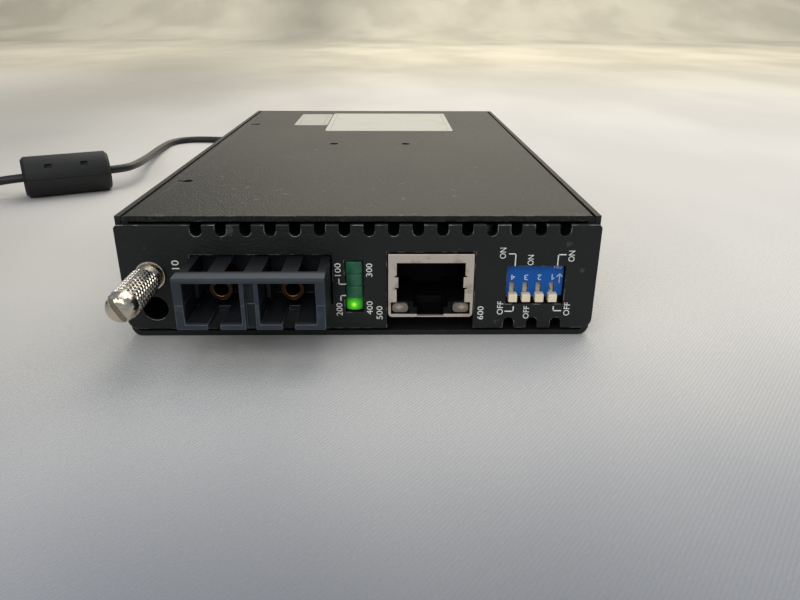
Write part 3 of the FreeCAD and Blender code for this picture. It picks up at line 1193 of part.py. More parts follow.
# Lead: down from the plug to the table, round the case's corner and through the clamp.
CORD = number("cord_radius")
TABLE = CORD + 0.05
plug_tip = [number(v) for v in (INLET_X, PLUG_TIP, INLET_Z)]
clamp_middle = FreeCAD.Vector(-number("clamp_across"), number("clamp_rear"),
                              number("clamp_radius"))
clamp_way = FreeCAD.Vector(math.cos(math.radians(number("clamp_turn"))),
                           math.sin(math.radians(number("clamp_turn"))), 0)
CORD_SAG = FreeCAD.Vector(0, 0, number("core_bore - cord_radius") / 5)
swept("power_cord", [
    plug_tip,
    (plug_tip[0], plug_tip[1] + 8.0, plug_tip[2]),
    (plug_tip[0] - 1.5, plug_tip[1] + 17.0, 8.2),
    (plug_tip[0] - 8.0, plug_tip[1] + 25.6, 4.4),
    (-49.5, 138.9, TABLE + 0.5),
    (-63.0, 141.0, TABLE),
    (-76.0, 141.9, TABLE),
    (-86.8, 143.9, TABLE),
    (-94.2, 141.0, TABLE),
    (-98.3, 134.5, TABLE),
    (-98.6, 126.0, TABLE + 0.1),
    (-98.2, 115.0, TABLE + 0.5),
    (-97.0, 103.0, TABLE + 1.0),
    (-95.4, 91.5, TABLE + 1.8),
    (-93.0, 79.5, TABLE + 3.0),
    (-89.6, 68.5, TABLE + 4.4),
    (-86.3, 59.2, TABLE + 5.1),
    clamp_middle + clamp_way * 19.0,
    clamp_middle - CORD_SAG,
    clamp_middle - clamp_way * 17.5,
    (-130.5, 32.6, 4.6),
    (-140.4, 36.2, 3.0),
    on_last_turn(70, 0),
], CORD)

# ---------------------------------------------------------------- mains adapter

ADAPTER_X = "(-adapter_across)"
ADAPTER_FRONT = "(-adapter_front)"
ADAPTER_REAR = f"({ADAPTER_FRONT} + adapter_long)"
ADAPTER_SEAM = "(adapter_tall / 2)"
SKIN = "adapter_wall"
BLADE_XS = [f"({ADAPTER_X} - blade_pitch / 2)", f"({ADAPTER_X} + blade_pitch / 2)"]

# Case: two halves with rounded corners that part at mid height, the blades through the front.
for label, floor, top in (("adapter_case_lower", "0", ADAPTER_SEAM),
                          ("adapter_case_upper", ADAPTER_SEAM, "adapter_tall")):
    half = rounded(box((f"{ADAPTER_X} - adapter_wide / 2", ADAPTER_FRONT, floor),
                       (f"{ADAPTER_X} + adapter_wide / 2", ADAPTER_REAR, top)),
                   "adapter_round", along(2))
    room = box((f"{ADAPTER_X} - adapter_wide / 2 + {SKIN}", f"{ADAPTER_FRONT} + {SKIN}", SKIN),
               (f"{ADAPTER_X} + adapter_wide / 2 - {SKIN}", f"{ADAPTER_REAR} - {SKIN}",
                f"adapter_tall - {SKIN}"))
    slots = [box((f"{x} - blade_thick / 2 - thread_gap", f"{ADAPTER_FRONT} - overcut",
                  f"{ADAPTER_SEAM} - blade_wide / 2 - thread_gap"),
                 (f"{x} + blade_thick / 2 + thread_gap", f"{ADAPTER_FRONT} + {SKIN} + overcut",
                  f"{ADAPTER_SEAM} + blade_wide / 2 + thread_gap")) for x in BLADE_XS]
    node(cut(half, room, *slots), label)
blades = [box((f"{x} - blade_thick / 2", f"{ADAPTER_FRONT} - blade_long",
               f"{ADAPTER_SEAM} - blade_wide / 2"),
              (f"{x} + blade_thick / 2", f"{ADAPTER_FRONT} + blade_root",
               f"{ADAPTER_SEAM} + blade_wide / 2")) for x in BLADE_XS]
node(group(*blades), "adapter_blades")
node(box((f"{ADAPTER_X} - core_wide / 2", f"{ADAPTER_REAR} - {SKIN} - core_long", SKIN),
         (f"{ADAPTER_X} + core_wide / 2", f"{ADAPTER_REAR} - {SKIN}", f"{SKIN} + core_tall")),
     "adapter_transformer")
node(taper("relief_base", "relief_tip", "adapter_relief_long",
           (ADAPTER_X, ADAPTER_REAR, "adapter_exit"), "y"), "adapter_relief")
relief_end = [number(v) for v in (ADAPTER_X, f"{ADAPTER_REAR} + adapter_relief_long",
                                  "adapter_exit")]
leave = on_last_turn(180, 1)
swept("adapter_lead", [
    leave,
    (leave[0] + 0.1, leave[1] - 8.0, 4.9),
    (leave[0] + 1.7, leave[1] - 15.8, 5.0),
    (leave[0] + 5.1, leave[1] - 22.9, 5.5),
    (relief_end[0], relief_end[1] + 6.0, relief_end[2]),
    relief_end,
], CORD)

# ---------------------------------------------------------------- check and export

doc.recompute()
for thing in doc.Objects:
    if "Invalid" in thing.State or "Error" in thing.State:
        raise RuntimeError(f"{thing.Name} ({thing.Label}) failed: {thing.State}")
os.makedirs("parts", exist_ok=True)
for old in os.listdir("parts"):
    os.remove(os.path.join("parts", old))
for thing in NODES:
    shape = thing.Shape
    if shape.isNull() or not shape.isValid():
        raise RuntimeError(f"{thing.Label} has no valid shape")
    shape.exportStep(f"parts/{thing.Label}.step")
    print(f"{thing.Label}: {len(shape.Solids)} solid(s), {shape.Volume:.1f} mm3")
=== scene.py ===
import bpy
import json
import math
from mathutils import Matrix, Vector

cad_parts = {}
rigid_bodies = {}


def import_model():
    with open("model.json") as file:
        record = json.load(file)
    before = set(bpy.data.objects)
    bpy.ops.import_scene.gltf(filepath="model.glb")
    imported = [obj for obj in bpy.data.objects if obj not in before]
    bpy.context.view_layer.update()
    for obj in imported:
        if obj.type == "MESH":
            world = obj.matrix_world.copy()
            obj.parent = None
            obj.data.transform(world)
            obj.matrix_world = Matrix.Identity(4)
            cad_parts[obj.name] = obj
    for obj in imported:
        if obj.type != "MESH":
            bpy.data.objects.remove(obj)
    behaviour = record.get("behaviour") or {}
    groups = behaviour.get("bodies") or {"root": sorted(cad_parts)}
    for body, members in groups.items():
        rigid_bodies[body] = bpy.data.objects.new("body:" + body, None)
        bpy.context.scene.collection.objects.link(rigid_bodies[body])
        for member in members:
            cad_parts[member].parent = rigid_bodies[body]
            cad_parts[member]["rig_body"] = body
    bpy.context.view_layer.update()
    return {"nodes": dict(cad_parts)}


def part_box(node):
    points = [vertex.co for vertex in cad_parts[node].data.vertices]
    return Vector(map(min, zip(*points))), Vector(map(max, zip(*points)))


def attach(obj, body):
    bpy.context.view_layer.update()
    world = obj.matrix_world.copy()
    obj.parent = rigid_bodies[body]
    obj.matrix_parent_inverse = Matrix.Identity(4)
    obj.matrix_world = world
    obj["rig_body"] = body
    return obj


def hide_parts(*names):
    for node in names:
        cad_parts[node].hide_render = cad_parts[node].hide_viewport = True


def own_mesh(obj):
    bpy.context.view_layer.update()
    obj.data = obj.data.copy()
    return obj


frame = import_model()
nodes = frame["nodes"]
MM = 0.001

# ------------------------------------------------------------------------------ table and view
# A pale cloth-covered table that curves up behind, and the place it is looked at from:
# close and a little above the front edge, so that the front panel faces the view.
def pick(chosen):
    """In the active piece, selects the points that pass a test, and what lies between them."""
    bpy.ops.object.mode_set(mode="OBJECT")
    data = bpy.context.object.data
    for point in data.vertices:
        point.select = bool(chosen(point.co))
    for part in (*data.edges, *data.polygons):
        part.select = all(data.vertices[i].select for i in part.vertices)
    bpy.ops.object.mode_set(mode="EDIT")


def settle(name):
    """Ends the making of the active piece: it is named, and its place goes into its mesh."""
    if bpy.context.object.mode != "OBJECT":
        bpy.ops.object.mode_set(mode="OBJECT")
    piece = bpy.context.object
    bpy.ops.object.select_all(action="DESELECT")
    piece.select_set(True)
    bpy.ops.object.transform_apply(location=True, rotation=True, scale=True)
    piece.name = piece.data.name = name
    return piece


bpy.ops.object.select_all(action="DESELECT")
bpy.ops.mesh.primitive_plane_add(size=3.2, location=(0, 0.1, -0.00002))
bpy.ops.object.mode_set(mode="EDIT")
bpy.ops.mesh.select_mode(type="VERT")
pick(lambda at: at.y > 1.5)
for back, lift in ((0.25, 0.03), (0.22, 0.10), (0.17, 0.18), (0.08, 0.25), (0.03, 1.6)):
    bpy.ops.mesh.extrude_region_move(TRANSFORM_OT_translate={"value": (0, back, lift)})
table = settle("table_cloth")
bpy.ops.object.shade_smooth()

camera = bpy.data.objects.new("camera", bpy.data.cameras.new("camera"))
bpy.context.scene.collection.objects.link(camera)
camera.data.sensor_width = 36.0
camera.data.lens = 30.48
camera.data.clip_start = 0.005
eye, eye_turn, eye_dip, eye_roll = (0.005442, -0.191657, 0.057117), -0.967, 22.761, 0.238
camera.matrix_world = (
    Matrix.Translation(eye)
    @ Matrix.Rotation(math.radians(eye_turn), 4, "Z")
    @ Matrix.Rotation(math.radians(90 - eye_dip), 4, "X")
    @ Matrix.Rotation(math.radians(eye_roll), 4, "Z")
)
bpy.context.scene.camera = camera


def soft_light(name, at, towards, size, power, colour):
    """A large soft box that faces a point."""
    light = bpy.data.objects.new(name, bpy.data.lights.new(name, "AREA"))
    bpy.context.scene.collection.objects.link(light)
    light.data.shape = "RECTANGLE"
    light.data.size, light.data.size_y = size
    light.data.energy = power
    light.data.color = colour
    light.location = at
    light.rotation_mode = "QUATERNION"
    light.rotation_quaternion = (Vector(towards) - Vector(at)).to_track_quat("-Z", "Y")


soft_light("window", (0.30, 0.95, 0.85), (0.05, 0.1, 0), (1.5, 0.9), 11, (1.0, 0.92, 0.79))
soft_light("ceiling", (0.15, 0.30, 1.25), (0.05, 0.1, 0), (0.9, 0.9), 4.5, (1.0, 0.97, 0.92))
soft_light("room_front", (-0.25, -1.1, 0.85), (0, 0, 0), (1.6, 0.9), 9, (1.0, 0.97, 0.93))
soft_light("far_wall", (0.3, 0.9, 1.2), (0.2, 2.4, 0.3), (1.8, 0.6), 30, (1.0, 0.96, 0.86))
world = bpy.data.worlds.new("room")
world.use_nodes = True
world.node_tree.nodes["Background"].inputs["Color"].default_value = (0.60, 0.68, 0.80, 1)
world.node_tree.nodes["Background"].inputs["Strength"].default_value = 0.40
bpy.context.scene.world = world
bpy.context.scene.view_settings.view_transform = "Standard"


class Signal:
    """A value or colour on its way through a finish's nodes. Arithmetic on it adds Math nodes."""

    def __init__(self, finish, socket):
        self.finish, self.socket = finish, socket

    def maths(self, operation, first, second=0.0):
        return self.finish.add("ShaderNodeMath", {"operation": operation}, first, second)

    def __add__(self, other):
        return self.maths("ADD", self, other)

    def __sub__(self, other):
        return self.maths("SUBTRACT", self, other)

    def __rsub__(self, other):
        return self.maths("SUBTRACT", other, self)

    def __mul__(self, other):
        return self.maths("MULTIPLY", self, other)

    def __truediv__(self, other):
        return self.maths("DIVIDE", self, other)

    def __gt__(self, other):
        return self.maths("GREATER_THAN", self, other)

    def __lt__(self, other):
        return self.maths("LESS_THAN", self, other)

    def __abs__(self):
        return self.maths("ABSOLUTE", self)

    __radd__, __rmul__ = __add__, __mul__


class Finish:
    """A surface finish made of shader nodes, read from the piece's own place in metres."""

    def __init__(self, name, colour, roughness, metallic=0.0):
        self.material = bpy.data.materials.new(name)
        self.material.use_nodes = True
        self.tree = self.material.node_tree
        self.skin = self.tree.nodes["Principled BSDF"]
        self.at = self.add("ShaderNodeTexCoord", {}, out="Object")
        self.wear("Base Color", (*colour, 1.0))
        self.wear("Roughness", roughness)
        self.wear("Metallic", metallic)

    def add(self, kind, settings, *values, out=0, **named):
        """One node: its settings first, then its sockets in order or by name."""
        made = self.tree.nodes.new(kind)
        for setting, value in settings.items():
            setattr(made, setting, value)
        sockets = [*zip(made.inputs, values)]
        sockets += [(made.inputs[name.replace("_", " ")], value) for name, value in named.items()]
        for socket, value in sockets:
            self.feed(socket, value)
        return Signal(self, made.outputs[out])

    def feed(self, socket, value):
        if isinstance(value, Signal):
            self.tree.links.new(value.socket, socket)
        else:
            socket.default_value = value

    def wear(self, channel, value):
        """Feeds one of the surface's channels, and keeps its colour for later layers."""
        if channel == "Base Color":
            self.colour = value
        self.feed(self.skin.inputs[channel], value)
        return self

    def layer(self, share, colour):
        """Covers a share of the surface, from 0 to 1, with another colour."""
        return self.wear("Base Color", self.blend(share, self.colour, colour))

    def noise(self, scale, detail=2.0, stretch=(1, 1, 1)):
        """Noise from 0 to 1, mostly near the middle, with features 1 / scale metres across."""
        place = self.add("ShaderNodeMapping", {}, self.at, Scale=stretch)
        return self.add("ShaderNodeTexNoise", {}, Vector=place, Scale=scale, Detail=detail,
                        out="Fac")

    def along(self, axis):
        """The distance along X, Y or Z, in metres."""
        return self.add("ShaderNodeSeparateXYZ", {}, self.at, out="XYZ".index(axis))

    def step(self, value, low, high):
        """Rises smoothly from 0 to 1 as the value goes from low to high."""
        return self.add("ShaderNodeMapRange", {"interpolation_type": "SMOOTHSTEP"},
                        Value=value, From_Min=low, From_Max=high)

    def blend(self, share, first, second):
        """A colour between two, by a share from 0 to 1."""
        made = self.tree.nodes.new("ShaderNodeMix")
        made.data_type = "RGBA"
        self.feed(made.inputs[0], share)
        for socket, value in ((made.inputs[6], first), (made.inputs[7], second)):
            self.feed(socket, value if isinstance(value, Signal) else (*value[:3], 1.0))
        return Signal(self, made.outputs[2])

    def relief(self, height, depth, strength=1.0):
        """Raises the surface by a height from 0 to 1, times a depth in metres."""
        self.wear("Normal", self.add("ShaderNodeBump", {}, Strength=strength, Distance=depth,
                                     Height=height))
        return self


def powder(name, dark, light, roughness, grain, depth, metallic=0.0):
    """Paint or moulded plastic with a fine grain and patches of a slightly different shade."""
    made = Finish(name, dark, roughness, metallic)
    patches = made.noise(60, 3.0)
    fine = made.noise(grain, 2.0)
    made.wear("Base Color", made.blend(patches, dark, light))
    made.wear("Roughness", roughness - 0.06 + patches * 0.08 + fine * 0.06)
    return made.relief(fine, depth)


def dress(node, finish):
    """Gives a CAD piece its finish."""
    nodes[node].data.materials.clear()
    nodes[node].data.materials.append(finish.material)


def softened(node, finish, width, segments=2, rim=None):
    """A CAD piece's own shape with its sharp edges broken; the broken edges take the rim's finish
    if a rim is given.
    """
    piece = bpy.data.objects.new(f"{node}_finished", nodes[node].data.copy())
    bpy.context.scene.collection.objects.link(piece)
    bpy.ops.object.select_all(action="DESELECT")
    piece.select_set(True)
    bpy.context.view_layer.objects.active = piece
    piece.data.materials.clear()
    piece.data.materials.append(finish.material)
    bpy.ops.object.mode_set(mode="EDIT")
    bpy.ops.mesh.select_all(action="SELECT")
    bpy.ops.mesh.remove_doubles(threshold=0.000002)
    bpy.ops.mesh.dissolve_limited(angle_limit=math.radians(0.5))
    bpy.ops.mesh.normals_make_consistent(inside=False)
    bpy.ops.object.mode_set(mode="OBJECT")
    edges = piece.modifiers.new("edges", "BEVEL")
    edges.width, edges.segments, edges.angle_limit = width, segments, math.radians(35)
    if rim:
        piece.data.materials.append(rim.material)
        edges.material = 1
    bpy.ops.object.modifier_apply(modifier="edges")
    bpy.ops.object.shade_smooth_by_angle(angle=math.radians(19))
    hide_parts(node)
    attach(piece, nodes[node]["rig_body"])
    return piece


cloth = Finish("pale_cloth", (0.76, 0.75, 0.73), 0.95)
slant = cloth.add("ShaderNodeMapping", {}, cloth.at, Rotation=(0, 0, math.radians(38)))
twill = cloth.add("ShaderNodeTexWave", {"wave_profile": "SIN"}, Vector=slant, Scale=540,
                  Distortion=2.5, Detail=2.0, Detail_Scale=3.0, out="Fac")
nearness = 1 - cloth.step(cloth.along("Y"), -0.09, 0.10)
creases = cloth.noise(7, 3.0, (1, 0.5, 1))
# Painted shade in the folds: the cloth is a little darker where the crease noise is low.
painted_fold_shade = cloth.step(creases, 0.36, 0.64)
cloth.wear("Base Color", cloth.blend(painted_fold_shade, (0.70, 0.685, 0.65), (0.78, 0.765, 0.73)))
# Painted shade, put into the cloth's colour rather than cast by the lamps: softly darker behind,
# cooler and darker in front, and darker at the left.
far = cloth.step(cloth.along("Y"), 0.05, 0.75)
cloth.layer(far, cloth.blend(painted_fold_shade, (0.36, 0.335, 0.275), (0.44, 0.41, 0.335)))
hanging = cloth.step(cloth.along("Y"), 1.40, 1.85)
cloth.layer(hanging, cloth.blend(painted_fold_shade, (0.50, 0.465, 0.38), (0.60, 0.56, 0.46)))
# Painted shade in front of the case, cooler and darker.
cool = ((1 - cloth.step(cloth.along("Y") + creases * 0.08, -0.110, -0.010))
        * cloth.step(cloth.along("Y"), -0.34, -0.16))
cloth.layer(cool * 0.9, cloth.blend(painted_fold_shade, (0.21, 0.235, 0.285), (0.29, 0.315, 0.37)))
# Painted shade at the left, in a cooler tone where it meets the front shade.
shaded = ((1 - cloth.step(cloth.along("X") + creases * 0.1, -0.17, 0.07))
          * cloth.step(cloth.along("X"), -0.48, -0.22))
cloth.layer(shaded * 0.62, cloth.blend(cool, (0.21, 0.205, 0.18), (0.34, 0.37, 0.41)))
# Painted soft shadow in front of the middle of the case, within the front shade.
dim = ((1 - cloth.step(abs(cloth.along("X") - 0.008), 0.0, 0.075))
       * (1 - cloth.step(cloth.along("Y") + creases * 0.03, -0.125, -0.07)))
cloth.layer(dim * cool * 0.5, (0.035, 0.045, 0.065))
cloth.layer(twill * nearness * 0.2, (0.28, 0.28, 0.28))
cloth.relief(twill * nearness * 0.01 + creases, 0.02, 0.45)
table.data.materials.append(cloth.material)

# ------------------------------------------------------------------------------ power lead
# A thin black round lead from the plug behind the case, through a snap-on ferrite clamp, its
# spare length wound in a tied coil that ends in the mains adapter.
lead_route = [
    (-30, 108.3, 10.8), (-30, 116.3, 10.8), (-31.5, 125.3, 8.2), (-38, 133.9, 4.4),
    (-49.5, 138.9, 1.95), (-63, 141, 1.45), (-76, 141.9, 1.45), (-86.8, 143.9, 1.45),
    (-94.2, 141, 1.45), (-97.8, 134.5, 1.45), (-97.8, 126, 1.55), (-96.9, 115, 1.95),
    (-95.4, 103, 2.45), (-93.4, 91.5, 3.25), (-91.0, 79.5, 4.45), (-88.4, 68.0, 5.85),
    (-87.2, 58.2, 6.55), (-88.4, 49.48, 6.75), (-104.9, 41, 6.65), (-120.47, 33.0, 6.75),
    (-130.5, 32.6, 4.6), (-140.4, 36.2, 3.0),
]
coil_middle = Vector((-157.0, 20.0))
cord_wide = 2.8
coil_radius, coil_lift = 15.5, 0.65
inner_turn = coil_radius - 1.5 * cord_wide
lowest_turn = coil_lift + cord_wide / 2
turn_order = [(3, 0), (2, 0), (1, 0), (0, 0), (0, 1), (0, 2), (1, 2), (1, 1), (2, 1), (2, 2),
              (3, 2), (3, 1)]
first_angle, last_angle = 70.0, 180.0 + 11 * 360.0
points_per_turn = 14
crossing = 0.2
steps = round((last_angle - first_angle) / 360 * points_per_turn)
for step in range(steps + 1):
    share = step / steps * len(turn_order)
    turn = min(int(share), len(turn_order) - 1)
    shift = 0.0
    if turn < len(turn_order) - 1:
        shift = max(0.0, (share - turn - (1 - crossing)) / crossing)
    here, after = turn_order[turn], turn_order[min(turn + 1, len(turn_order) - 1)]
    column = here[0] + (after[0] - here[0]) * shift
    layer = here[1] + (after[1] - here[1]) * shift
    angle = math.radians(first_angle + (last_angle - first_angle) * step / steps)
    reach = inner_turn + column * cord_wide
    lead_route.append((coil_middle.x + reach * math.cos(angle),
                       coil_middle.y + reach * math.sin(angle),
                       lowest_turn + layer * cord_wide))
lead_route += [(-176.6, 12.0, 4.9), (-175.0, 4.2, 5.0), (-171.6, -2.9, 5.4),
               (-169.0, -8.0, 6.0), (-169.0, -14.0, 6.0)]
line = bpy.data.curves.new("power_lead", "CURVE")
line.dimensions = "3D"
spline = line.splines.new("NURBS")
spline.points.add(len(lead_route) - 1)
for point, (x, y, z) in zip(spline.points, lead_route):
    point.co = (x * MM, y * MM, z * MM, 1)
spline.order_u = 3
spline.use_endpoint_u = True
spline.resolution_u = 6
line.bevel_depth = cord_wide / 2 * MM
line.bevel_resolution = 3
lead = bpy.data.objects.new("power_lead", line)
bpy.context.scene.collection.objects.link(lead)
vinyl = powder("black_vinyl", (0.006, 0.007, 0.007), (0.012, 0.013, 0.013), 0.45, 1500, 0.00004)
line.materials.append(vinyl.material)
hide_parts("power_cord", "cord_coil", "adapter_lead")
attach(lead, "case")
for name in ("plug_body", "adapter_relief"):
    dress(name, vinyl)
tie_finish = powder("tie_strap", (0.02, 0.02, 0.02), (0.03, 0.03, 0.03), 0.5, 900, 0.00005)
dress("coil_tie", tie_finish)
bright_plate = powder("bright_plating", (0.62, 0.6, 0.56), (0.7, 0.68, 0.63), 0.24, 700,
                      0.00001, 1.0)
for name in ("plug_barrel", "adapter_blades"):
    dress(name, bright_plate)
clamp_shell = powder("clamp_moulding", (0.003, 0.0035, 0.0035), (0.007, 0.008, 0.008), 0.6, 1100,
                     0.00008)
adapter_shell = powder("adapter_moulding", (0.007, 0.007, 0.008), (0.013, 0.013, 0.014), 0.6,
                       900, 0.0001)
clamp_halves = [softened(name, clamp_shell, 0.0007, 4)
                for name in ("ferrite_case_lower", "ferrite_case_upper")]
for name in ("adapter_case_lower", "adapter_case_upper"):
    dress(name, adapter_shell)
sintered = powder("sintered_core", (0.05, 0.05, 0.052), (0.08, 0.08, 0.08), 0.6, 1300, 0.00005)
for name in ("ferrite_core_lower", "ferrite_core_upper", "adapter_transformer"):
    dress(name, sintered)

# ------------------------------------------------------------------------------ case
# Tray and base plate, folded from steel sheet and powder coated in a dark grey-olive. Their edges
# are painted paler: partly rubbed-through wear, partly a painted edge highlight. Four countersunk
# screws hold them together at the sides.
def rubbed_and_highlit_edge(name, paint, bare, share=0.5):
    """A painted edge band, paler than the face as a painted edge highlight, and rubbed through in
    places.
    """
    made = Finish(name, paint, 0.45)
    chips = made.step(made.noise(420, 3.0), 1 - share, 1.08 - share)
    return made.layer(chips, bare)


tray_paint = powder("tray_coat", (0.006, 0.006, 0.006), (0.011, 0.011, 0.0105), 0.62, 1900,
                    0.00007)
tray_paint.skin.inputs["Specular IOR Level"].default_value = 0.4
# Painted edge highlight along the tray's broken edges, with rubbed chips.
tray_edge = rubbed_and_highlit_edge("tray_edge", (0.035, 0.035, 0.033), (0.16, 0.155, 0.145), 0.42)
softened("case_tray", tray_paint, 0.00016, rim=tray_edge)
plate_paint = Finish("plate_coat", (0.04, 0.04, 0.036), 0.5)
plate_paint.skin.inputs["Specular IOR Level"].default_value = 0.22
mottle = plate_paint.noise(30, 4.0)
speckle = plate_paint.noise(2300, 2.0)
plate_paint.wear("Base Color", plate_paint.blend(mottle, (0.006, 0.009, 0.007),
                                                 (0.015, 0.0175, 0.0145)))
plate_paint.layer(plate_paint.step(speckle, 0.5, 0.68) * 0.5, (0.055, 0.060, 0.053))
dust = plate_paint.step(plate_paint.noise(520, 2.0), 0.70, 0.74)
plate_paint.layer(dust * 0.35, (0.22, 0.21, 0.19))
plate_paint.wear("Roughness", 0.44 + mottle * 0.1 + speckle * 0.08)
plate_paint.relief(speckle, 0.00012)
# Painted edge highlight along the plate's broken edges, with rubbed chips.
plate_edge = rubbed_and_highlit_edge("plate_edge", (0.085, 0.085, 0.08), (0.50, 0.48, 0.44), 0.5)
softened("cover_plate", plate_paint, 0.00022, rim=plate_edge)
zinc = powder("zinc_plating", (0.30, 0.30, 0.29), (0.42, 0.42, 0.39), 0.38, 900, 0.00002, 1.0)
for name in ("cover_screws", "panel_screws", "retaining_ring"):
    dress(name, zinc)
rail_plastic = powder("rail_moulding", (0.02, 0.02, 0.02), (0.03, 0.03, 0.03), 0.5, 800, 0.00005)
for name in ("guide_left", "guide_right"):
    dress(name, rail_plastic)

# ------------------------------------------------------------------------------ plate labels
# Two blank paper labels stuck side by side near the back of the plate, the small one greyer
# and both a little rubbed, with a thin printed border.
plate_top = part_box("cover_plate")[1][2]
label_corner, label_gauge, border_outside, border_inside = 0.0012, 0.00007, 0.0012, 0.0016


def label(name, left, right, near, far, paper, worn):
    """A thin sheet with rounded corners, stuck flat on the plate."""
    bpy.ops.object.select_all(action="DESELECT")
    bpy.ops.mesh.primitive_plane_add(size=1, location=((left + right) / 2 * MM,
                                                       (near + far) / 2 * MM, plate_top))
    bpy.context.object.scale = ((right - left) * MM, (far - near) * MM, 1)
    sticker = settle(name)
    bpy.ops.object.mode_set(mode="EDIT")
    bpy.ops.mesh.select_all(action="SELECT")
    bpy.ops.mesh.bevel(offset=label_corner, segments=4, affect="VERTICES")
    bpy.ops.mesh.extrude_region_move(TRANSFORM_OT_translate={"value": (0, 0, label_gauge)})
    bpy.ops.mesh.select_all(action="SELECT")
    bpy.ops.mesh.normals_make_consistent(inside=False)
    bpy.ops.object.mode_set(mode="OBJECT")
    paint = Finish(name, paper, 0.55)
    edge_x = abs(paint.along("X") - (left + right) / 2 * MM) - (right - left) / 2 * MM
    edge_y = abs(paint.along("Y") - (near + far) / 2 * MM) - (far - near) / 2 * MM
    edge = paint.add("ShaderNodeMath", {"operation": "MAXIMUM"}, edge_x, edge_y)
    border = (edge > -border_inside) * (edge < -border_outside)
    paint.layer(border * 0.25, (0.10, 0.10, 0.09))
    paint.layer(paint.step(paint.noise(160, 4.0), 0.48, 0.70) * 0.4, worn)
    paint.relief(paint.noise(700, 2.0), 0.00002)
    sticker.data.materials.append(paint.material)
    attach(sticker, nodes["cover_plate"]["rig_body"])


label("label_small", -25.8, -14.9, 36.3, 63.2, (0.44, 0.43, 0.38), (0.26, 0.26, 0.23))
label("label_large", -14.6, 25.5, 24.5, 65.0, (0.53, 0.52, 0.455), (0.42, 0.405, 0.35))

# ------------------------------------------------------------------------------ front panel
# Folded steel panel in a nearly black fine-textured coat, notched along both edges for air.
# The notches' rims are painted paler: partly coat worn thin, partly a painted edge highlight.
panel_paint = powder("panel_coat", (0.0038, 0.0052, 0.0050), (0.0075, 0.0092, 0.0088), 0.6, 2300,
                     0.00012)
panel_paint.skin.inputs["Specular IOR Level"].default_value = 0.42
panel_dust = panel_paint.step(panel_paint.noise(300, 3.0), 0.66, 0.72)
panel_paint.layer(panel_dust * 0.35, (0.12, 0.12, 0.11))
# Painted edge highlight on the notches' rims, with rubbed chips.
panel_edge = rubbed_and_highlit_edge("panel_edge", (0.035, 0.035, 0.034), (0.42, 0.40, 0.36), 0.50)
softened("front_panel", panel_paint, 0.00012, rim=panel_edge)

# ------------------------------------------------------------------------------ legends
# White screen printing: short legends that read upwards beside each window, with brackets
# that tie them to their lamps and sliders. Plain numbers and ON and OFF only.
panel_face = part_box("front_panel")[0][1]
upward = (Vector((0, 0, 1)), Vector((-1, 0, 0)), Vector((0, -1, 0)))
upside_down = (Vector((-1, 0, 0)), Vector((0, 0, -1)), Vector((0, -1, 0)))
ink_film = 0.00003


def stand(axes, x, y, z):
    """The place of something drawn flat, whose own axes turn to these directions."""
    turned = Matrix(axes).transposed().to_4x4()
    return Matrix.Translation((x * MM, y, z * MM)) @ turned


def words(text, axes, face, x, z, length, height):
    """A line of plain letters of that length and height in mm, centred on x and z."""
    bpy.ops.object.select_all(action="DESELECT")
    bpy.ops.object.text_add()
    written = bpy.context.object
    written.data.body = text
    written.data.align_x, written.data.align_y = "CENTER", "CENTER"
    written.data.resolution_u = 3
    bpy.ops.object.convert(target="MESH")
    low = [min(point.co[i] for point in written.data.vertices) for i in (0, 1)]
    high = [max(point.co[i] for point in written.data.vertices) for i in (0, 1)]
    fit = Matrix.Diagonal((length * MM / (high[0] - low[0]), height * MM / (high[1] - low[1]),
                           1, 1))
    centre = Matrix.Translation((-(low[0] + high[0]) / 2, -(low[1] + high[1]) / 2, 0))
    written.matrix_world = stand(axes, x, face, z) @ fit @ centre
    return settle("legend")


def strokes(points, face, wide=0.2):
    """Straight printed lines from point to point, each point an x and a z in mm."""
    drawn = []
    for (x, z), (to_x, to_z) in zip(points, points[1:]):
        run = Vector((to_x - x, 0, to_z - z))
        along = run.normalized()
        across = Vector((0, -1, 0)).cross(along)
        bpy.ops.object.select_all(action="DESELECT")
        bpy.ops.mesh.primitive_plane_add(size=1)
        line_piece = bpy.context.object
        line_piece.matrix_world = (
            stand((along, across, Vector((0, -1, 0))), (x + to_x) / 2, face, (z + to_z) / 2)
            @ Matrix.Diagonal(((run.length + wide) * MM, wide * MM, 1, 1))
        )
        drawn.append(settle("stroke"))
    return drawn


def print_on(name, parts, ink, node):
    """Joins printed parts into one piece with the thickness of its ink."""
    bpy.ops.object.select_all(action="DESELECT")
    for part in parts:
        part.select_set(True)
    bpy.context.view_layer.objects.active = parts[0]
    bpy.ops.object.join()
    printed = settle(name)
    film = printed.modifiers.new("film", "SOLIDIFY")
    film.thickness, film.offset = ink_film, 1
    bpy.ops.object.modifier_apply(modifier="film")
    printed.data.materials.clear()
    printed.data.materials.append(ink.material)
    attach(printed, nodes[node]["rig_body"])
    return printed


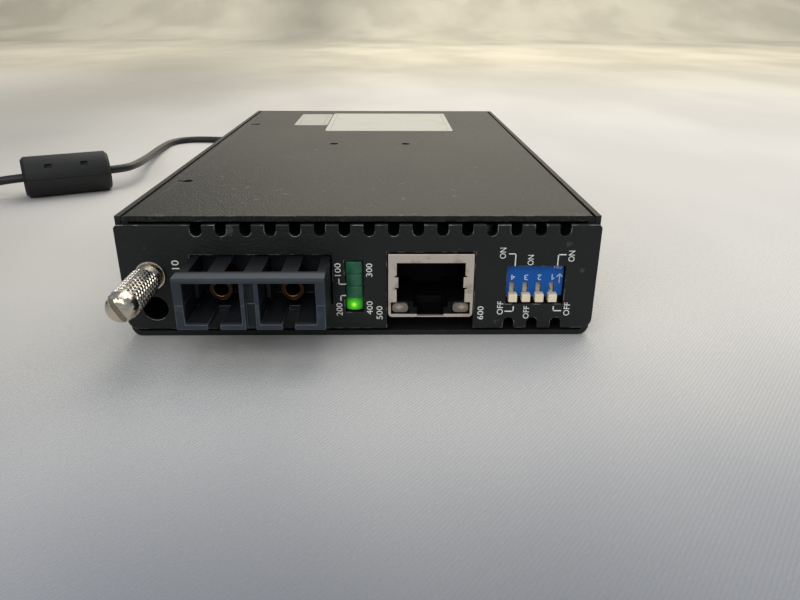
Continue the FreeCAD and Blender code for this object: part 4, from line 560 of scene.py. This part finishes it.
white_ink = Finish("white_ink", (0.95, 0.95, 0.90), 0.6)
white_ink.layer(white_ink.step(white_ink.noise(900, 3.0), 0.58, 0.75) * 0.6, (0.30, 0.30, 0.28))
white_ink.relief(white_ink.noise(2500, 1.0), 0.00001)
legends = [
    words(text, upward, panel_face, x, z, length, height)
    for text, x, z, length, height in (
        ("10", -33.8, 14.9, 1.7, 1.35), ("100", -4.1, 13.9, 2.5, 1.15),
        ("200", -4.0, 5.9, 2.6, 1.15), ("300", 1.7, 13.8, 2.6, 1.15),
        ("400", 1.7, 6.2, 2.7, 1.15), ("500", 3.55, 5.2, 2.7, 1.15),
        ("600", 22.7, 5.1, 2.7, 1.15), ("ON", 26.3, 17.05, 2.1, 1.15),
        ("ON", 31.5, 15.7, 2.0, 1.1), ("ON", 39.0, 16.45, 2.1, 1.15),
        ("OFF", 26.4, 6.1, 2.7, 1.15), ("OFF", 31.4, 5.2, 2.6, 1.1),
        ("OFF", 39.1, 5.85, 2.7, 1.15))
]
for corner_line in (
    [(27.49, 16.92), (28.68, 16.92), (28.68, 14.65)],
    [(37.90, 16.75), (36.55, 16.75), (36.55, 14.74)],
    [(27.37, 5.43), (28.90, 5.43), (28.90, 6.37)],
    [(37.96, 5.52), (36.52, 5.52), (36.52, 6.35)],
    [(-3.94, 12.0), (-3.94, 11.01), (-2.70, 11.01)],
    [(-3.66, 7.77), (-3.66, 8.73), (-2.77, 8.73)],
):
    legends += strokes(corner_line, panel_face)
print_on("panel_legends", legends, white_ink, "front_panel")

# ------------------------------------------------------------------------------ receptacle
# Duplex optical receptacle: two half shells moulded in dark slate plastic with latch arms
# and key ways, closed over two bronze sleeves in front of the transceiver's black housing.
slate = powder("slate_moulding", (0.028, 0.036, 0.046), (0.042, 0.051, 0.063), 0.5, 900,
               0.00005)
slate.skin.inputs["Specular IOR Level"].default_value = 0.2
slate.layer(slate.step(slate.noise(420, 4.0), 0.52, 0.66) * 0.5, (0.060, 0.074, 0.086))
# Painted shade: the shells are painted nearly black further in, inside the ports.
painted_recess_shade = slate.step(slate.along("Y"), -0.0864, -0.0852)
on_top = slate.step(slate.along("Z"), 0.0160, 0.0168)
# Painted highlight: the top of the front bar is painted lighter and kept out of that shade.
painted_bar_highlight = on_top * (1 - slate.step(slate.along("Y"), -0.0848, -0.0836))
slate.layer(painted_recess_shade * 0.9 * (1 - painted_bar_highlight), (0.004, 0.005, 0.006))
slate.layer(painted_bar_highlight * 0.6, (0.075, 0.092, 0.108))
# The shells' broken edges: paler at the front as a painted edge highlight, and nearly black further
# in as painted shade.
slate_edge = Finish("slate_edge", (0.060, 0.072, 0.092), 0.4)
slate_edge.layer(slate_edge.step(slate_edge.along("Y"), -0.0862, -0.0846), (0.012, 0.015, 0.018))
slate_edge.layer(slate_edge.step(slate_edge.noise(500, 2.0), 0.5, 0.7) * 0.6,
                 (0.10, 0.115, 0.14))
for name in ("sc_lower_shell", "sc_upper_shell"):
    softened(name, slate, 0.00014, rim=slate_edge)
# A darker copy of the slate for the latch clips inside the ports: painted shade.
shaded_slate = powder("slate_inside", (0.007, 0.008, 0.010), (0.012, 0.014, 0.018), 0.5, 900,
                     0.00005)
softened("sc_latch_clips", shaded_slate, 0.00008)
# The sleeves' bronze in two copies: the dark one on the body and bore is painted shade, and the
# paler lip on the broken front edge is a painted ring highlight.
bronze = powder("sleeve_bronze", (0.030, 0.012, 0.005), (0.055, 0.022, 0.009), 0.3, 900, 0.00002,
                0.8)
lip = Finish("sleeve_lip", (0.24, 0.12, 0.04), 0.25, 1.0)
lip.layer(lip.step(lip.noise(800, 2.0), 0.45, 0.65) * 0.6, (0.10, 0.045, 0.015))
softened("optical_sleeves", bronze, 0.00012, rim=lip)
black_moulding = powder("black_moulding", (0.008, 0.008, 0.008), (0.014, 0.014, 0.014), 0.45,
                        900, 0.00005)
for name in ("transceiver_box", "led_holder", "power_jack"):
    dress(name, black_moulding)

# ------------------------------------------------------------------------------ light stack
# Four flat lamps cast in dull green resin, one above another in a black holder. The lowest
# is lit and glows yellow-green around its hot spot.
green = Finish("green_lamp", (0.016, 0.110, 0.055), 0.32)
green.layer(green.step(green.noise(500, 2.0), 0.4, 0.7), (0.028, 0.160, 0.080))
green.relief(green.noise(300, 1.0), 0.00004)
for name in ("led_2", "led_3", "led_4"):
    softened(name, green, 0.00012)
lit = Finish("lit_lamp", (0.006, 0.10, 0.008), 0.25)
lamp_low, lamp_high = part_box("led_1")
lamp_middle = [(a + b) / 2 for a, b in zip(lamp_low, lamp_high)]
reach = lit.add("ShaderNodeVectorMath", {"operation": "DISTANCE"}, lit.at,
                (lamp_middle[0] - 0.0001, lamp_low[1], lamp_middle[2] - 0.0001), out="Value")
glow = 1 - lit.step(reach, 0.0002, 0.0019)
core = 1 - lit.step(reach, 0.0001, 0.0007)
glare = lit.blend(glow, (0.004, 0.07, 0.004), (0.07, 0.55, 0.004))
lit.wear("Emission Color", lit.blend(core, glare, (0.45, 1.0, 0.06)))
lit.wear("Emission Strength", 0.85)
softened("led_1", lit, 0.00012)

# ------------------------------------------------------------------------------ network jack
# Shielded jack: a stamped and tinned can round a black moulding, with eight gold contacts
# and two clear lamps in the lower corners.
tinned = powder("jack_can", (0.64, 0.56, 0.48), (0.78, 0.70, 0.61), 0.42, 700, 0.00004, 0.7)
tinned.layer(tinned.step(tinned.noise(350, 3.0), 0.54, 0.72) * 0.6, (0.30, 0.25, 0.20))
# Painted shade: the can is painted nearly black behind its front face, inside the opening.
tinned.layer(tinned.step(tinned.along("Y"), -0.0743, -0.0738), (0.012, 0.011, 0.010))
can_edge = Finish("jack_can_edge", (0.70, 0.64, 0.57), 0.3, 0.8)
can_edge.layer(can_edge.step(can_edge.noise(600, 2.0), 0.5, 0.7), (0.50, 0.44, 0.38))
softened("jack_shield", tinned, 0.00007, rim=can_edge)
insert_black = powder("jack_moulding", (0.002, 0.002, 0.0024), (0.004, 0.004, 0.0046), 0.5, 900,
                      0.00005)
insert_black.skin.inputs["Specular IOR Level"].default_value = 0.15
softened("jack_insert", insert_black, 0.0001)
gold = powder("gold_contacts", (0.32, 0.20, 0.06), (0.42, 0.27, 0.09), 0.35, 900, 0.00001, 1.0)
dress("jack_contacts", gold)
clear = powder("clear_lamp", (0.13, 0.105, 0.08), (0.24, 0.20, 0.155), 0.12, 700, 0.00002)
lamps_low, lamps_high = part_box("jack_leds")
lamp_height = (lamps_low[2] + lamps_high[2]) / 2
# Painted highlight: a pale spot on each lamp near its outer end, a little above its middle.
shine_inset = 0.0013
from_end = abs(abs(clear.along("X") - (lamps_low[0] + lamps_high[0]) / 2)
               - (lamps_high[0] - lamps_low[0]) / 2 + shine_inset)
shine = 1 - clear.step(from_end + abs(clear.along("Z") - lamp_height - 0.0002) * 1.6,
                       0.0002, 0.0013)
clear.layer(shine * 0.75, (0.52, 0.46, 0.37))
softened("jack_leds", clear, 0.00015)

# ------------------------------------------------------------------------------ slide switch
# Four-way slide switch: a blue lid over a black base, slotted for four cream sliders, all
# set down, with its numbers, ON and an arrow printed upside down.
blue = powder("switch_blue", (0.001, 0.085, 0.37), (0.002, 0.125, 0.50), 0.42, 900, 0.00004)
blue.skin.inputs["Specular IOR Level"].default_value = 0.3
# The lid's broken edges are painted a paler blue: painted edge highlight.
lid_edge = Finish("switch_lid_edge", (0.03, 0.16, 0.60), 0.35)
lid_edge.layer(lid_edge.step(lid_edge.noise(900, 2.0), 0.5, 0.7) * 0.4, (0.2, 0.34, 0.7))
softened("dip_cover", blue, 0.00006, rim=lid_edge)
dress("dip_base", black_moulding)
cream = powder("slider_cream", (0.90, 0.78, 0.55), (1.0, 0.90, 0.68), 0.42, 900, 0.00003)
for i in (1, 2, 3, 4):
    softened(f"dip_slider_{i}", cream, 0.00012)
lid_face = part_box("dip_cover")[0][1]
pale_ink = Finish("pale_ink", (0.66, 0.74, 0.84), 0.6)
pale_ink.layer(pale_ink.step(pale_ink.noise(1500, 2.0), 0.5, 0.7) * 0.5, (0.20, 0.34, 0.6))
switch_marks = [words(text, upside_down, lid_face, x, 11.85, length, 1.08)
                for text, x, length in (("4", 28.65, 0.84), ("3", 31.15, 0.76),
                                        ("2", 33.65, 0.76))]
switch_marks += strokes([(36.05, 12.4), (36.05, 11.35), (36.42, 11.72)], lid_face, 0.17)
switch_marks.append(words("ON", upside_down, lid_face, 37.0, 13.95, 1.5, 0.7))
switch_marks += strokes([(37.45, 10.8), (37.45, 12.6)], lid_face, 0.16)
switch_marks += strokes([(36.95, 12.0), (37.45, 12.6), (37.95, 12.0)], lid_face, 0.16)
print_on("switch_marks", switch_marks, pale_ink, "dip_cover")

# ------------------------------------------------------------------------------ thumbscrew
# Captive screw turned from brass and nickel plated: a knurled barrel that fingers turn, a
# slotted nose, and a flanged ferrule that holds it, with its spring, in the panel.
nickel = powder("bright_nickel", (0.58, 0.52, 0.42), (0.74, 0.67, 0.55), 0.22, 900, 0.00002, 1.0)
nickel.layer(nickel.step(nickel.noise(260, 4.0), 0.56, 0.72) * 0.55, (0.34, 0.29, 0.22))
nickel_edge = Finish("nickel_edge", (0.80, 0.76, 0.68), 0.2, 1.0)
nickel_edge.layer(nickel_edge.step(nickel_edge.noise(500, 2.0), 0.5, 0.7), (0.6, 0.55, 0.47))
softened("thumbscrew", nickel, 0.00012, rim=nickel_edge)
softened("screw_ferrule", nickel, 0.00015, 3, rim=nickel_edge)
for name in ("crystal", "power_jack_pin"):
    dress(name, nickel)
screw_x, screw_z = -0.0385, 0.0129
spring_front, spring_back = (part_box("screw_spring")[i][1] for i in (0, 1))
wire, wire_sides, spring_reach, spring_turns, steps_round = 0.00028, 10, 0.0022, 4, 20
pitch = (spring_back - spring_front - 2 * wire) / spring_turns
bpy.ops.object.select_all(action="DESELECT")
bpy.ops.mesh.primitive_circle_add(vertices=wire_sides, radius=wire, location=(
    screw_x + spring_reach, spring_front + wire, screw_z))
spring = settle("screw_spring_wound")
bpy.ops.object.mode_set(mode="EDIT")
bpy.ops.mesh.select_all(action="SELECT")
bpy.ops.mesh.spin(steps=steps_round * spring_turns, angle=math.tau * spring_turns,
                  center=(screw_x, spring_front + wire, screw_z), axis=(0, 1, 0))
bpy.ops.object.mode_set(mode="OBJECT")
for i, point in enumerate(spring.data.vertices):
    point.co.y += pitch / steps_round * (i // wire_sides)
bpy.ops.object.mode_set(mode="EDIT")
bpy.ops.mesh.select_mode(type="EDGE")
bpy.ops.mesh.select_all(action="DESELECT")
bpy.ops.mesh.select_non_manifold()
bpy.ops.mesh.fill_holes(sides=0)
bpy.ops.mesh.select_all(action="SELECT")
bpy.ops.mesh.normals_make_consistent(inside=False)
bpy.ops.object.mode_set(mode="OBJECT")
bpy.ops.object.shade_smooth_by_angle(angle=math.radians(45))
spring.data.materials.append(nickel.material)
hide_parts("screw_spring")
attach(spring, "card")
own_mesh(spring)
barrel_front, barrel_back, barrel_radius = -0.0882, -0.0780, 0.00258
barrel_middle = Vector((screw_x, (barrel_front + barrel_back) / 2, screw_z))
knurl_sides, knurl_cuts, groove_width, knurl_height = 16, 8, 0.00018, 0.00020
end_step, end_taper = 0.00012, 0.9
bpy.ops.object.select_all(action="DESELECT")
bpy.ops.mesh.primitive_cylinder_add(vertices=knurl_sides, radius=barrel_radius,
                                    end_fill_type="NOTHING", depth=barrel_back - barrel_front,
                                    location=barrel_middle, rotation=(math.radians(90), 0, 0))
sleeve = settle("knurled_sleeve")
bpy.ops.object.mode_set(mode="EDIT")
bpy.ops.mesh.select_mode(type="EDGE")
bpy.ops.mesh.select_all(action="DESELECT")
bpy.ops.object.mode_set(mode="OBJECT")
for edge in sleeve.data.edges:
    ends = [sleeve.data.vertices[i].co for i in edge.vertices]
    edge.select = abs(ends[0].y - ends[1].y) > 0.001
bpy.ops.object.mode_set(mode="EDIT")
bpy.ops.mesh.subdivide(number_cuts=knurl_cuts)
bpy.ops.object.mode_set(mode="OBJECT")
grid_points = len(sleeve.data.vertices)
bpy.ops.object.mode_set(mode="EDIT")
bpy.ops.mesh.select_all(action="SELECT")
bpy.ops.mesh.poke()
bpy.ops.mesh.select_all(action="DESELECT")
bpy.ops.object.mode_set(mode="OBJECT")
for edge in sleeve.data.edges:
    ends = [sleeve.data.vertices[i].co for i in edge.vertices]
    inside = min(min(end.y - barrel_front, barrel_back - end.y) for end in ends) > 0.0001
    level = abs(ends[0].y - ends[1].y) < 0.00001
    edge.select = max(edge.vertices) < grid_points and (inside or not level)
bpy.ops.object.mode_set(mode="EDIT")
bpy.ops.mesh.dissolve_edges(use_verts=False)
bpy.ops.mesh.select_mode(type="FACE")
bpy.ops.mesh.select_all(action="SELECT")
bpy.ops.mesh.normals_make_consistent(inside=False)
bpy.ops.mesh.inset(use_individual=True, thickness=groove_width, depth=knurl_height)
bpy.ops.mesh.select_mode(type="VERT")
for ring, outward in ((barrel_front, -1), (barrel_back, 1)):
    pick(lambda at: abs(at.y - ring) < 0.00001)
    bpy.ops.mesh.extrude_region_move(
        TRANSFORM_OT_translate={"value": (0, outward * end_step, 0)})
    bpy.ops.transform.resize(value=(end_taper, 1, end_taper), center_override=(
        barrel_middle.x, ring + outward * end_step, barrel_middle.z))
settle("knurled_sleeve")
bpy.ops.object.shade_flat()
knurled = Finish("knurled_nickel", (0.70, 0.65, 0.57), 0.2, 1.0)
knurl_dirt = knurled.step(knurled.noise(350, 3.0), 0.5, 0.68)
knurled.layer(knurl_dirt * 0.6, (0.36, 0.31, 0.24))
knurled.wear("Roughness", 0.18 + knurl_dirt * 0.2)
knurled.relief(knurled.noise(2500, 1.0), 0.00001)
sleeve.data.materials.append(knurled.material)
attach(sleeve, nodes["thumbscrew"]["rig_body"])

# ------------------------------------------------------------------------------ circuit board
# Green laminate, mounted with its parts beneath, so its upper face is the soldered side:
# faint tracks under the mask, and bright domes where the pins come through.
solder_mask = powder("solder_mask", (0.004, 0.038, 0.018), (0.007, 0.055, 0.025), 0.35, 400,
                     0.00002)
tracks = solder_mask.add("ShaderNodeTexBrick", {"offset": 0.5}, solder_mask.at, Color1=(0, 0, 0, 1),
                         Color2=(0.25, 0.25, 0.25, 1), Mortar=(1, 1, 1, 1), Scale=110,
                         Mortar_Size=0.045, Brick_Width=1.3, Row_Height=0.22)
broken = solder_mask.step(solder_mask.noise(90, 1.0), 0.46, 0.5)
# Tracks are left out towards the front, so the board stays darker there: painted shade under the
# panel.
behind_painted_shade = solder_mask.step(solder_mask.along("Y"), -0.066, -0.058)
solder_mask.layer(tracks * broken * behind_painted_shade * 0.6, (0.016, 0.115, 0.052))
dress("circuit_board", solder_mask)
board_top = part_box("circuit_board")[1][2]
bpy.ops.object.select_all(action="DESELECT")
dome_radius = 0.0007
bpy.ops.mesh.primitive_uv_sphere_add(segments=8, ring_count=6, radius=dome_radius)
joint = settle("solder_joint")
pick(lambda at: at.z < -0.0001)
bpy.ops.mesh.delete(type="VERT")
pick(lambda at: abs(at.z) < 0.0001)
bpy.ops.transform.resize(value=(1.35, 1.35, 1), center_override=(0, 0, 0))
bpy.ops.mesh.select_all(action="SELECT")
bpy.ops.transform.resize(value=(1, 1, 0.7), center_override=(0, 0, 0))
bpy.ops.object.mode_set(mode="OBJECT")
bpy.ops.object.shade_smooth_by_angle(angle=math.radians(60))
pin_rows = [(-27 + 2.54 * i, -49.5) for i in range(9)]
pin_rows += [(8.7 + 1.27 * i, -58.0 + 2.54 * (i % 2)) for i in range(8)]
pin_rows += [(28.6 + 2.54 * i, y) for i in range(4) for y in (-68.5, -61.0)]
pin_rows += [(-33, 62.0), (-27, 62.0), (-30, 57.0)]
pin_rows += [(x + side, 35.0) for x in (-8, 4, 16) for side in (-1.3, 1.3)]
joints = []
for x, y in pin_rows:
    dome = bpy.data.objects.new("solder_joint", joint.data.copy())
    bpy.context.scene.collection.objects.link(dome)
    dome.location = (x * MM, y * MM, board_top)
    joints.append(dome)
bpy.data.objects.remove(joint)
bpy.ops.object.select_all(action="DESELECT")
for dome in joints:
    dome.select_set(True)
bpy.context.view_layer.objects.active = joints[0]
bpy.ops.object.join()
solder = settle("solder_joints")
tin = powder("solder", (0.45, 0.45, 0.44), (0.62, 0.62, 0.60), 0.28, 1500, 0.00002, 0.9)
solder.data.materials.append(tin.material)
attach(solder, nodes["circuit_board"]["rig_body"])
epoxy = powder("chip_epoxy", (0.015, 0.015, 0.016), (0.025, 0.025, 0.026), 0.55, 1200, 0.00003)
for name in ("lan_transformer", "converter_chip", "port_chip", "capacitors", "regulator"):
    dress(name, epoxy)
